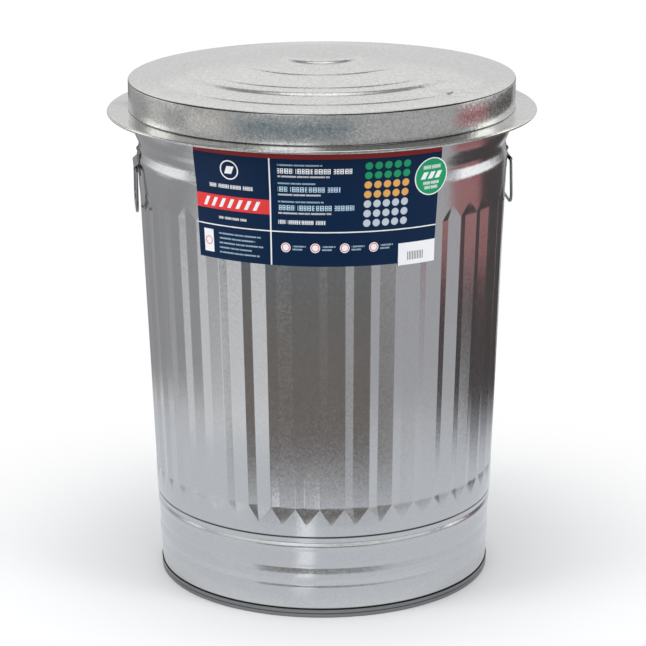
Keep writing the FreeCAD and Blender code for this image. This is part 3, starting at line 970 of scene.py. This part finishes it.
@dataclass
class BasePan:
    """Recessed disc whose edge is folded up round the can's foot, in millimetres."""

    sheet: float = 0.55
    top: float = 14.0
    wall: float = 223.74
    fold_in: float = 224.35
    fold_out: float = 225.45
    fold_top: float = 11.0
    ring: float = 150.0
    ring_height: float = 3.87

    def build(self, finish: Material) -> None:
        """Make the pan and put it into the scene.

        Args:
            finish: the material of the pan.
        """
        upper = [
            Corner(0.0, self.top), Corner(self.ring - 8, self.top, 2.0),
            Corner(self.ring, self.top + self.ring_height, 30.0),
            Corner(self.ring + 8, self.top, 2.0),
        ]
        lower = [corner.moved(up=-self.sheet) for corner in reversed(upper)]
        corners = upper + [
            Corner(self.wall, self.top, 2.6), Corner(self.wall, self.sheet), Corner(self.fold_in, self.sheet),
            Corner(self.fold_in, self.fold_top - 2.4), Corner(self.fold_in + 0.55, self.fold_top - 0.2, 0.3),
            Corner(self.fold_out, self.fold_top, 0.4), Corner(self.fold_out, 7.6, 0.6),
            Corner(self.fold_out - 0.3, 5.4, 1.2), Corner(self.fold_out, 3.0, 0.6),
            Corner(self.fold_out, 0.0, 0.8), Corner(self.wall - self.sheet, 0.0, 0.3),
            Corner(self.wall - self.sheet, self.top - self.sheet, 2.0),
        ] + lower
        mesh = turned("base_pan", rounded(corners))
        piece("base_pan", mesh, finish, "can", "galvanized_base", "bottom_pan")


# ---- lid ------------------------------------------------------------------------------
@dataclass
class Lid:
    """Ringed crown, upright skirt and flat brim with a rolled edge, in millimetres."""

    sheet: float = 0.55
    edge_z: float = 681.27
    skirt: float = 257.1
    brim_z: float = 640.17
    brim: float = 285.5
    roll: float = 2.2
    rim_start: tuple[float, float, float] = (238.0, 1.51, 0.0)
    skirt_middle: float = 662.0
    brim_middle: float = 270.0
    fine_from: float = 160.0
    coarse_step: float = 14.0
    fine_step: float = 4.0
    turns: int = 420
    rings: tuple[tuple[float, float, float], ...] = (
        (0.0, 28.9, 0.0), (37.5, 28.6, 8.0), (51.5, 28.0, 2.4), (56.5, 24.8, 2.4), (110.5, 22.0, 1.6),
        (113.0, 20.6, 1.6), (164.0, 15.1, 0.7), (166.8, 13.9, 0.7), (182.0, 11.6, 3.4), (187.5, 8.2, 3.4),
        (216.3, 3.6, 0.7), (219.3, 2.3, 0.7),
    )
    buckles: tuple[tuple[float, ...], ...] = (
        (182.0, 36.0, 250.0, 44.5, 4.2, 0.9), (192.0, 41.5, 252.0, 48.5, 4.0, -0.9),
        (198.0, 46.5, 250.0, 52.5, 3.6, 0.7), (170.0, 46.0, 204.0, 58.0, 4.0, -0.7),
        (120.0, 24.0, 176.0, 40.0, 7.0, -0.35), (190.0, -72.0, 240.0, -64.0, 6.0, 0.35),
    )

    def outline(self) -> Outline:
        """Closed outline of the sheet, from the middle out over the brim and back under it.

        Returns:
            Radii and heights in millimetres.
        """
        crown = []
        for (r, rise, bend), (r_next, rise_next, _) in zip(self.rings, (*self.rings[1:], self.rim_start)):
            crown.append(Corner(r, self.edge_z + rise, bend))
            step = self.fine_step if r > self.fine_from else self.coarse_step
            for share in np.linspace(0.0, 1.0, max(2, round((r_next - r) / step) + 1))[1:-1]:
                height = self.edge_z + rise + (rise_next - rise) * share
                crown.append(Corner(r + (r_next - r) * share, height))
        rim = Corner(self.rim_start[0], self.edge_z + self.rim_start[1])
        over = rounded(crown + [
            rim, Corner(self.skirt, self.edge_z, 2.6), Corner(self.skirt, self.skirt_middle),
            Corner(self.skirt, self.brim_z, 1.2), Corner(self.brim_middle, self.brim_z),
            Corner(self.brim - self.roll, self.brim_z),
        ], 5)
        centre = (self.brim - self.roll, self.brim_z - self.roll)
        rolled = circle(centre, self.roll, 80, -180, 14)
        hollow = circle(centre, self.roll - self.sheet, -180, 90, 10)
        inner = self.skirt - self.sheet
        under = rounded([
            Corner(self.brim_middle, self.brim_z - self.sheet), Corner(inner, self.brim_z - self.sheet, 1.6),
            Corner(inner, self.skirt_middle), Corner(inner, self.edge_z - self.sheet, 2.2),
            rim.moved(up=-self.sheet),
        ] + [corner.moved(up=-self.sheet) for corner in reversed(crown)], 2)
        return over + rolled + hollow + under

    def press_buckles(self, mesh: Mesh) -> None:
        """Press the shallow buckles of handling into the crown, through both of its faces.

        Args:
            mesh: the mesh of the lid.
        """
        places = np.empty(3 * len(mesh.vertices), dtype=np.float32)
        mesh.vertices.foreach_get("co", places)
        places = places.reshape(-1, 3)
        crown = places[:, 2] > (self.edge_z - 2.0) * MM
        for r1, angle1, r2, angle2, width, depth in self.buckles:
            start, end = polar(r1, angle1, 0.0)[:2], polar(r2, angle2, 0.0)[:2]
            along = end - start
            away = places[:, :2] / MM - start
            share = away @ along / (along @ along)
            aside = np.linalg.norm(away - share[:, None] * along, axis=1) / width
            fade = np.exp(-((share - 0.5) / 0.38) ** 4 - aside * aside)
            places[:, 2] -= crown * depth * MM * fade
        mesh.vertices.foreach_set("co", places.ravel())
        mesh.update()

    def build(self, finish: Material) -> None:
        """Make the lid and put it into the scene.

        Args:
            finish: the material of the lid.
        """
        mesh = turned("lid_sheet", self.outline(), self.turns)
        self.press_buckles(mesh)
        ripple(mesh, 0.28, 70.0, 11.0)
        piece("lid_sheet", mesh, finish, "lid", "galvanized_lid", "lid")


# ---- handles --------------------------------------------------------------------------
@dataclass
class Handles:
    """Wire bails, their brackets and the rivets, in millimetres, for the +X side."""

    pivot_x: float = 249.52
    pivot_z: float = 567.5
    wire: float = 3.8
    half_top: float = 36.6
    half_bottom: float = 44.5
    drop: float = 57.2
    rivet_z: float = 582.8
    rivet_angle: float = 6.35
    rivet_seat: float = 247.05

    def bail(self, side: int) -> Mesh:
        """Wire loop whose two ends meet inside the hood, for the side +1 or -1.

        Args:
            side: +1 for the right, -1 for the left.

        Returns:
            The mesh of the wire.
        """
        route = rounded([
            Corner(0.5, 0.0), Corner(self.half_top, 0.0, 6.0), Corner(self.half_bottom, -self.drop, 17.0),
            Corner(-self.half_bottom, -self.drop, 17.0), Corner(-self.half_top, 0.0, 6.0), Corner(-0.5, 0.0),
        ], 10)
        line = bpy.data.curves.new("bail_line", "CURVE")
        line.dimensions = "3D"
        spline = line.splines.new("POLY")
        spline.points.add(len(route) - 1)
        for point, (y, dz) in zip(spline.points, route):
            point.co = (side * self.pivot_x * MM, y * MM, (self.pivot_z + dz) * MM, 1.0)
        line.bevel_depth = self.wire / 2 * MM
        line.bevel_resolution = 4
        line.use_fill_caps = True
        holder = bpy.data.objects.new("bail_holder", line)
        bpy.context.scene.collection.objects.link(holder)
        graph = bpy.context.evaluated_depsgraph_get()
        mesh = bpy.data.meshes.new_from_object(holder.evaluated_get(graph), depsgraph=graph)
        bpy.data.objects.remove(holder)
        mesh.name = "bail"
        return closed(mesh)

    def rivet(self) -> Mesh:
        """Domed head and inner tail of one rivet, with its shank through the wall.

        Returns:
            The mesh of the rivet, at the angle 0.
        """
        half = [(0.0, 2.0), (1.3, 1.82), (2.5, 1.25), (3.3, 0.35), (3.5, -0.2), (2.0, -0.25), (2.0, -1.5),
                (3.2, -1.6), (3.1, -2.4), (2.2, -2.75), (0.0, -2.8)]
        skin = Skin()
        turns = np.radians(np.linspace(0.0, 360.0, 25))
        profile = [(self.rivet_seat + out, r) for r, out in half]
        skin.grid([[np.array((x, r * math.cos(t), self.rivet_z + r * math.sin(t))) for t in turns]
                   for x, r in profile])
        return closed(skin.mesh("rivet"))

    def build(self, copies: CopiesRound, finishes: Finishes) -> None:
        """Make the bails and rivets and put them into the scene.

        Args:
            copies: the tree that copies a mesh round the can.
            finishes: the materials of the can.
        """
        for side, name in ((1, "right"), (-1, "left")):
            body = "bail_" + name
            piece("wire_" + body, self.bail(side), finishes.wire, body, "steel_wire", body)
        one = self.rivet()
        one.transform(Matrix.Rotation(math.radians(-self.rivet_angle), 4, "Z"))
        settings = {"Count": 2, "Join": 0.001 * MM, "Ripple": 0.0, "Wave": 1.0, "Seed": 0.0,
                    "Finish": finishes.rivet}
        pair = copies.make("rivet_pair", one, Pitch=2 * self.rivet_angle, **settings)
        rivets = copies.make("rivets", pair, Pitch=180.0, **settings)
        piece("rivets", closed(rivets), finishes.rivet, "can", "rivet_steel", "bracket_rivets_right",
              "bracket_rivets_left")


# ---- label ----------------------------------------------------------------------------
@dataclass
class Papers:
    """The label and the two stickers on it, in millimetres and degrees from the front."""

    wall: CanWall
    left: tuple[float, float] = (-45.4, -46.1)
    right: tuple[float, float] = (29.8, 31.4)
    bottom: tuple[float, float] = (484.3, 480.9)
    top: tuple[float, float] = (633.0, 632.0)
    paper: float = 0.30
    seat: float = 0.22
    sag: float = 0.16
    collar_z: float = 617.2
    round_angle: float = 28.0
    round_z: float = 590.8
    round_radius: float = 24.7
    sticker_face: float = 0.30
    sticker_back: float = 0.12
    wrap_radius: float = 247.0
    crest_fade: float = 30.0
    patch: tuple[float, float, float, float] = (17.4, 30.0, 478.6, 507.7)

    def radius(self, degrees: float, z: float) -> float:
        """Radius of the label's back: on the crests, then straight across the neck.

        Args:
            degrees: angle on the can.
            z: height on the can.

        Returns:
            The radius in millimetres.
        """
        wall = self.wall
        if z <= wall.shoulder_z:
            level = wall.cone(z)
        else:
            share = min(1.0, (z - wall.shoulder_z) / (self.collar_z - wall.shoulder_z))
            level = wall.shoulder_radius + (wall.collar_radius - wall.shoulder_radius) * share
        phase = 2 * math.pi * (degrees - wall.crest_angle) / wall.pitch
        fade = min(1.0, max(0.0, (wall.tips[1] - z) / self.crest_fade))
        return level + self.seat - self.sag * fade * (1 - math.cos(phase)) / 2

    def label(self) -> Mesh:
        """The wide label, a little aslant, with its coordinates in millimetres.

        Returns:
            The mesh of the label.
        """
        columns = np.linspace(0.0, 1.0, 145)
        rows = np.linspace(0.0, 1.0, 49)
        outer, inner, uvs = [], [], []
        for v in rows:
            line, back, places = [], [], []
            for u in columns:
                low, high = (a + (b - a) * u for a, b in (self.bottom, self.top))
                z = low + (high - low) * v
                start, end = (a + (b - a) * v for a, b in (self.left, self.right))
                degrees = start + (end - start) * u
                radius = self.radius(degrees, z)
                line.append(polar(radius + self.paper, degrees, z))
                back.append(polar(radius, degrees, z))
                places.append((LABEL_SIZE[0] * u, LABEL_SIZE[1] * v))
            outer.append(line)
            inner.append(back)
            uvs.append(places)
        return slab("paper_label_sheet", outer, inner, uvs)

    def on_label(self, degrees: float, z: float, lift: float) -> np.ndarray:
        """Point over the label's face."""
        return polar(self.radius(degrees, z) + self.paper + lift, degrees, z)

    def round(self) -> Mesh:
        """The round sticker, with its coordinates in millimetres from its middle.

        Returns:
            The mesh of the sticker.
        """
        outer, inner, uvs = [], [], []
        turns = np.linspace(0.0, 2 * math.pi, 73)
        for away in self.round_radius * np.linspace(1.0, 0.0, 12):
            spots = [(away * math.cos(t), away * math.sin(t)) for t in turns]
            place = [(self.round_angle + math.degrees(x / self.wrap_radius), self.round_z + y)
                     for x, y in spots]
            outer.append([self.on_label(degrees, z, self.sticker_face) for degrees, z in place])
            inner.append([self.on_label(degrees, z, self.sticker_back) for degrees, z in place])
            uvs.append(spots)
        skin = Skin()
        skin.grid(outer, uvs)
        skin.grid(inner, uvs, flip=True)
        skin.grid([outer[0], inner[0]], [uvs[0], uvs[0]], flip=True)
        return closed(skin.mesh("round_sticker_sheet"))

    def corner(self) -> Mesh:
        """The small sticker across the label's lower edge.

        Returns:
            The mesh of the sticker.
        """
        left, right, low, high = self.patch
        outer, inner, uvs = [], [], []
        for v in np.linspace(0.0, 1.0, 12):
            z = low + (high - low) * v
            angles = np.linspace(left, right, 28)
            outer.append([self.on_label(degrees, z, self.sticker_face) for degrees in angles])
            inner.append([self.on_label(degrees, z, self.sticker_back) for degrees in angles])
            uvs.append([((degrees - left) / (right - left) * PATCH_SIZE[0], v * PATCH_SIZE[1])
                        for degrees in angles])
        return slab("corner_sticker_sheet", outer, inner, uvs)

    def build(self, finishes: Finishes) -> None:
        """Make the label and stickers and put them into the scene.

        Args:
            finishes: the materials of the can.
        """
        piece("label_sheet", self.label(), finishes.label, "can", "label_paper", "paper_label")
        piece("round_sheet", self.round(), finishes.round, "can", "green_sticker", "round_sticker")
        piece("corner_sheet", self.corner(), finishes.patch, "can", "white_sticker", "corner_sticker")


# ---- studio ---------------------------------------------------------------------------
@dataclass(frozen=True)
class Softbox:
    """Square lamp that looks at the can: angle from the front, height, distance and size."""

    name: str
    angle: float
    height: float
    distance: float
    size: tuple[float, float]
    power: float


@dataclass(frozen=True)
class Card:
    """Card that only the metal sees: its first and last edge as (from, to, distance, height).

    The angles are from the camera's side, and the distances and heights are in metres. The
    card fades out over some degrees at its sides and over a share of its depth at its edges.
    """

    name: str
    first: tuple[float, float, float, float]
    last: tuple[float, float, float, float]
    colour: Colour
    soft_sides: tuple[float, float]
    soft_share: float

    @classmethod
    def ring(cls, name: str, reach: tuple[float, float], heights: tuple[float, float], colour: Colour,
             soft_share: float) -> "Card":
        """Card all the way round, from one distance and height to another."""
        edges = [(-180.0, 180.0, distance, height) for distance, height in zip(reach, heights)]
        return cls(name, *edges, colour, (0.1, 0.1), soft_share)

    @classmethod
    def flat(cls, name: str, angles: tuple[float, float], reach: tuple[float, float], height: float,
             colour: Colour, soft_sides: tuple[float, float], soft_share: float) -> "Card":
        """Level card between two angles and two distances."""
        return cls(name, *((*angles, distance, height) for distance in reach), colour, soft_sides, soft_share)

    @classmethod
    def wall(cls, name: str, angles: tuple[float, float], distance: float, heights: tuple[float, float],
             colour: Colour, soft_sides: tuple[float, float], soft_share: float) -> "Card":
        """Upright card between two angles and two heights."""
        return cls(name, *((*angles, distance, height) for height in heights), colour, soft_sides, soft_share)

    def grid(self, count: int) -> list[tuple[float, float, float, float]]:
        """Places on the card as (angle, distance, height, cover), row by row.

        Args:
            count: places along each side of the card.

        Returns:
            The places, with cover 1 where the card is full and 0 where it is clear.
        """
        places = []
        for v in np.linspace(0.0, 1.0, count):
            start, end, distance, height = (a + (b - a) * v for a, b in zip(self.first, self.last))
            shares = [soft / (end - start) for soft in self.soft_sides]
            for u in np.linspace(0.0, 1.0, count):
                side = min(1.0, u / shares[0], (1 - u) / shares[1])
                depth = min(1.0, v / self.soft_share)
                cover = side * side * (3 - 2 * side) * depth * depth * (3 - 2 * depth)
                places.append((start + (end - start) * u, distance, height, cover))
        return places


@dataclass
class Studio:
    """Pale floor, white surroundings, soft lamps, dark cards and the camera."""

    brim: float = 0.2856
    camera_angle: float = -5.6
    camera_distance: float = 12.2167
    camera_height: float = 4.7043
    camera_tilt: float = 16.066
    camera_roll: float = 0.28
    focal_pixels: float = 2664.26
    frame_pixels: float = 646.0
    sensor: float = 36.0
    card_points: int = 41
    floor_radius: float = 14.0
    floor_depth: float = 0.0004
    white_from: float = 0.26
    white_to: float = 0.75
    softboxes: tuple[Softbox, ...] = (
        Softbox("lamp_left", -70.0, 1.5, 2.4, (1.2, 1.8), 26.0),
        Softbox("lamp_right", 50.0, 1.6, 2.6, (1.0, 1.8), 24.0),
        Softbox("lamp_top", 0.0, 3.0, 0.2, (1.8, 1.8), 26.0),
    )
    cards: tuple[Card, ...] = (
        Card.ring("card_near", (0.24, 0.8), (0.0, 0.0), (0.73, 0.76, 0.80), 0.1),
        Card.ring("card_far", (1.6, 7.0), (0.0, 0.0), (0.44, 0.44, 0.45), 0.1),
        Card("card_right_grey", (16.0, 92.0, 0.65, 0.001), (8.0, 92.0, 4.5, 0.001),
             (0.52, 0.52, 0.54), (8, 8), 0.08),
        Card.flat("card_left_grey", (-175.0, -62.0), (0.7, 4.5), 0.001, (0.38, 0.38, 0.39), (10, 34), 0.08),
        Card.flat("card_left_light", (-100.0, -37.0), (0.75, 1.9), 0.0005, (0.82, 0.82, 0.83),
             (20, 2), 0.25),
        Card.flat("card_left_warm", (-86.0, -54.0), (2.7, 4.2), 0.002, (0.88, 0.85, 0.79), (6, 6), 0.2),
        Card.flat("card_left_side", (-121.0, -99.0), (2.7, 4.2), 0.002, (0.72, 0.72, 0.71), (5, 5), 0.2),
        Card("card_front", (-39.0, 44.0, 0.48, 0.002), (-43.0, 38.0, 2.2, 0.002), (0.20, 0.18, 0.165),
             (3, 24), 0.18),
        Card("card_front_far", (-40.0, 26.0, 1.3, 0.003), (-53.0, 20.0, 4.5, 0.003),
             (0.15, 0.22, 0.26), (3, 12), 0.3),
        Card.flat("card_right", (83.0, 151.0), (0.56, 4.5), 0.004, (0.08, 0.07, 0.07), (5, 3), 0.08),
        Card.flat("card_red", (80.0, 112.0), (1.5, 4.3), 0.005, (0.40, 0.10, 0.12), (5, 5), 0.25),
        Card.flat("card_pink", (80.0, 114.0), (1.45, 2.6), 0.0055, (0.46, 0.22, 0.22), (6, 8), 0.25),
        Card.flat("card_back", (167.0, 205.0), (0.56, 4.5), 0.006, (0.12, 0.12, 0.12), (6, 6), 0.08),
        Card.flat("card_glint", (-15.0, -3.0), (0.24, 0.6), 0.01, (1.10, 1.12, 1.15), (4, 4), 0.3),
        Card.ring("card_horizon", (7.0, 7.0), (0.0, 0.6), (0.24, 0.25, 0.26), 0.4),
        Card.wall("room_left", (-98.0, -35.0), 3.4, (0.85, 2.3), (0.66, 0.66, 0.66), (3, 3), 0.04),
        Card.wall("room_left_lamp", (-122.0, -98.0), 3.4, (0.75, 2.3), (1.9, 1.9, 1.85), (3, 3), 0.04),
        Card.wall("room_left_back", (-148.0, -122.0), 3.4, (0.85, 2.3), (0.45, 0.45, 0.45), (3, 3), 0.04),
        Card.wall("room_lamp", (-35.0, -3.0), 3.4, (0.85, 2.3), (1.9, 1.95, 2.0), (3, 3), 0.04),
        Card.wall("room_right", (-3.0, 98.0), 3.4, (0.85, 2.3), (0.27, 0.28, 0.27), (5, 3), 0.04),
        Card.wall("room_side_lamp", (98.0, 120.0), 3.4, (0.85, 2.3), (2.3, 2.3, 2.25), (3, 3), 0.04),
        Card.wall("room_upper", (-125.0, 122.0), 3.4, (2.3, 6.0), (0.12, 0.12, 0.12), (5, 5), 0.04),
        Card.ring("room_top", (1.7, 4.2), (4.7, 4.7), (0.33, 0.34, 0.35), 0.2),
        Card.ring("room_top_lamp", (0.02, 1.5), (4.7, 4.7), (1.6, 1.6, 1.6), 0.01),
        Card.wall("room_right_low", (84.0, 158.0), 5.0, (0.05, 1.0), (1.5, 1.5, 1.52), (8, 8), 0.15),
        Card.wall("room_left_low", (-155.0, -84.0), 5.0, (0.05, 1.0), (1.3, 1.3, 1.3), (8, 8), 0.15),
        Card.wall("room_back", (128.0, 232.0), 4.0, (0.5, 1.8), (0.78, 0.78, 0.79), (20, 20), 0.1),
    )

    def camera(self) -> None:
        """Camera at the photograph's angle."""
        lens = bpy.data.cameras.new("camera")
        lens.sensor_width = self.sensor
        lens.lens = self.focal_pixels * self.sensor / self.frame_pixels
        camera = bpy.data.objects.new("camera", lens)
        bpy.context.scene.collection.objects.link(camera)
        away = polar(self.camera_distance * self.brim, self.camera_angle, self.camera_height * self.brim)
        camera.matrix_world = (
            Matrix.Translation(Vector(away)) @ Matrix.Rotation(math.radians(self.camera_angle), 4, "Z")
            @ Matrix.Rotation(math.radians(90.0 - self.camera_tilt), 4, "X")
            @ Matrix.Rotation(math.radians(-self.camera_roll), 4, "Z")
        )
        bpy.context.scene.camera = camera

    @staticmethod
    def seen(tree: Tree) -> Socket:
        """1 for rays from the camera, from a mirroring face or through glass, and 0 for the others.

        Args:
            tree: the material's or the world's tree.

        Returns:
            The socket with 1 or 0.
        """
        path = tree.add("ShaderNodeLightPath").outputs
        mirrored = tree.math("MAXIMUM", path["Is Glossy Ray"], path["Is Transmission Ray"])
        return tree.math("MAXIMUM", path["Is Camera Ray"], mirrored)

    def world(self) -> None:
        """White surroundings for the camera and for reflections, and soft light from all round."""
        world = bpy.data.worlds.new("studio")
        world.use_nodes = True
        bpy.context.scene.world = world
        world.node_tree.nodes.clear()
        tree = Tree(world.node_tree)
        seen = self.seen(tree)
        backdrop = tree.add("ShaderNodeBackground", {"Color": (1.0, 1.0, 1.0, 1.0), "Strength": 1.0})
        ambient = tree.add("ShaderNodeBackground", {"Color": (0.96, 0.98, 1.0, 1.0), "Strength": 0.6})
        both = tree.add("ShaderNodeMixShader", {0: seen, 1: ambient.outputs[0], 2: backdrop.outputs[0]})
        tree.add("ShaderNodeOutputWorld", {0: both.outputs[0]})

    def floor(self) -> None:
        """Wide pale floor under the can, which turns into the white backdrop away from it."""
        mesh = bpy.data.meshes.new("floor")
        turns = np.radians(np.arange(0.0, 360.0, 3.0))
        edge = [(self.floor_radius * math.cos(t), self.floor_radius * math.sin(t), -self.floor_depth)
                for t in turns]
        mesh.from_pydata(edge, [], [range(len(turns))])
        material = bpy.data.materials.new("floor_paint")
        material.use_nodes = True
        tree = Tree(material.node_tree)
        shader = material.node_tree.nodes["Principled BSDF"]
        shader.inputs["Base Color"].default_value = (0.93, 0.93, 0.93, 1.0)
        shader.inputs["Roughness"].default_value = 0.9
        shader.inputs["Specular IOR Level"].default_value = 0.1
        seen = self.seen(tree)
        place = tree.add("ShaderNodeTexCoord").outputs["Object"]
        away = tree.add("ShaderNodeVectorMath", {0: place}, operation="LENGTH").outputs["Value"]
        fade = tree.add("ShaderNodeMapRange", {"Value": away, "From Min": self.white_from,
                                               "From Max": self.white_to},
                        interpolation_type="SMOOTHSTEP").outputs[0]
        white = tree.add("ShaderNodeEmission", {"Color": (1.0, 1.0, 1.0, 1.0), "Strength": 1.0})
        both = tree.add("ShaderNodeMixShader", {0: tree.math("MULTIPLY", seen, fade), 1: shader.outputs[0],
                                                2: white.outputs[0]})
        tree.tree.links.new(both.outputs[0], material.node_tree.nodes["Material Output"].inputs[0])
        mesh.materials.append(material)
        floor = bpy.data.objects.new("floor", mesh)
        bpy.context.scene.collection.objects.link(floor)

    def card(self, card: Card) -> None:
        """Put up one card.

        Args:
            card: the card and its place.
        """
        count = self.card_points
        places = card.grid(count)
        points = [tuple(polar(r, self.camera_angle + angle, z + 0.001)) for angle, r, z, _ in places]
        corners = [i * count + j for i in range(count - 1) for j in range(count - 1)]
        mesh = bpy.data.meshes.new(card.name)
        mesh.from_pydata(points, [], [(n, n + 1, n + count + 1, n + count) for n in corners])
        mesh.attributes.new("cover", "FLOAT", "POINT").data.foreach_set("value", [place[3] for place in places])
        material = bpy.data.materials.new(card.name + "_paint")
        material.use_nodes = True
        material.node_tree.nodes.clear()
        tree = Tree(material.node_tree)
        paint = tree.add("ShaderNodeEmission", {"Color": rgba(card.colour), "Strength": 1.0})
        cover = tree.add("ShaderNodeAttribute", attribute_name="cover")
        clear = tree.add("ShaderNodeBsdfTransparent")
        mixed = tree.add("ShaderNodeMixShader", {0: cover.outputs["Fac"], 1: clear.outputs[0],
                                                 2: paint.outputs[0]})
        tree.add("ShaderNodeOutputMaterial", {0: mixed.outputs[0]})
        mesh.materials.append(material)
        thing = bpy.data.objects.new(card.name, mesh)
        bpy.context.scene.collection.objects.link(thing)
        for ray in ("camera", "diffuse", "transmission", "volume_scatter", "shadow"):
            setattr(thing, "visible_" + ray, False)

    def lamps(self) -> None:
        """Soft lamps round the can."""
        for box in self.softboxes:
            light = bpy.data.lights.new(box.name, "AREA")
            light.shape = "RECTANGLE"
            light.size, light.size_y = box.size
            light.energy = box.power
            lamp = bpy.data.objects.new(box.name, light)
            lamp.visible_glossy = False
            bpy.context.scene.collection.objects.link(lamp)
            place = Vector(polar(box.distance, box.angle, box.height))
            aim = Vector((0.0, 0.0, 0.35)) - place
            lamp.matrix_world = Matrix.Translation(place) @ aim.to_track_quat("-Z", "Y").to_matrix().to_4x4()

    def build(self) -> None:
        """Set up the whole studio."""
        self.camera()
        self.world()
        self.floor()
        self.lamps()
        for card in self.cards:
            self.card(card)
        bpy.context.scene.view_settings.view_transform = "Standard"


def main() -> None:
    """Dress the can and set up the studio."""
    logging.basicConfig(level=logging.INFO, format="%(name)s: %(message)s")
    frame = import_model()
    Studio().build()
    finishes = Finishes()
    copies = CopiesRound()
    wall = CanWall()
    wall.build(copies, finishes.wall)
    wall.build_seam(finishes.wall)
    BasePan().build(finishes.base)
    Lid().build(finishes.lid)
    Handles().build(copies, finishes)
    Papers(wall).build(finishes)
    for node, finish in (("rim_wire", finishes.wire), ("handle_bracket_left", finishes.bracket),
                         ("handle_bracket_right", finishes.bracket)):
        mesh = frame["nodes"][node].data
        mesh.materials.clear()
        mesh.materials.append(finish)


if __name__ == "__main__":
    main()
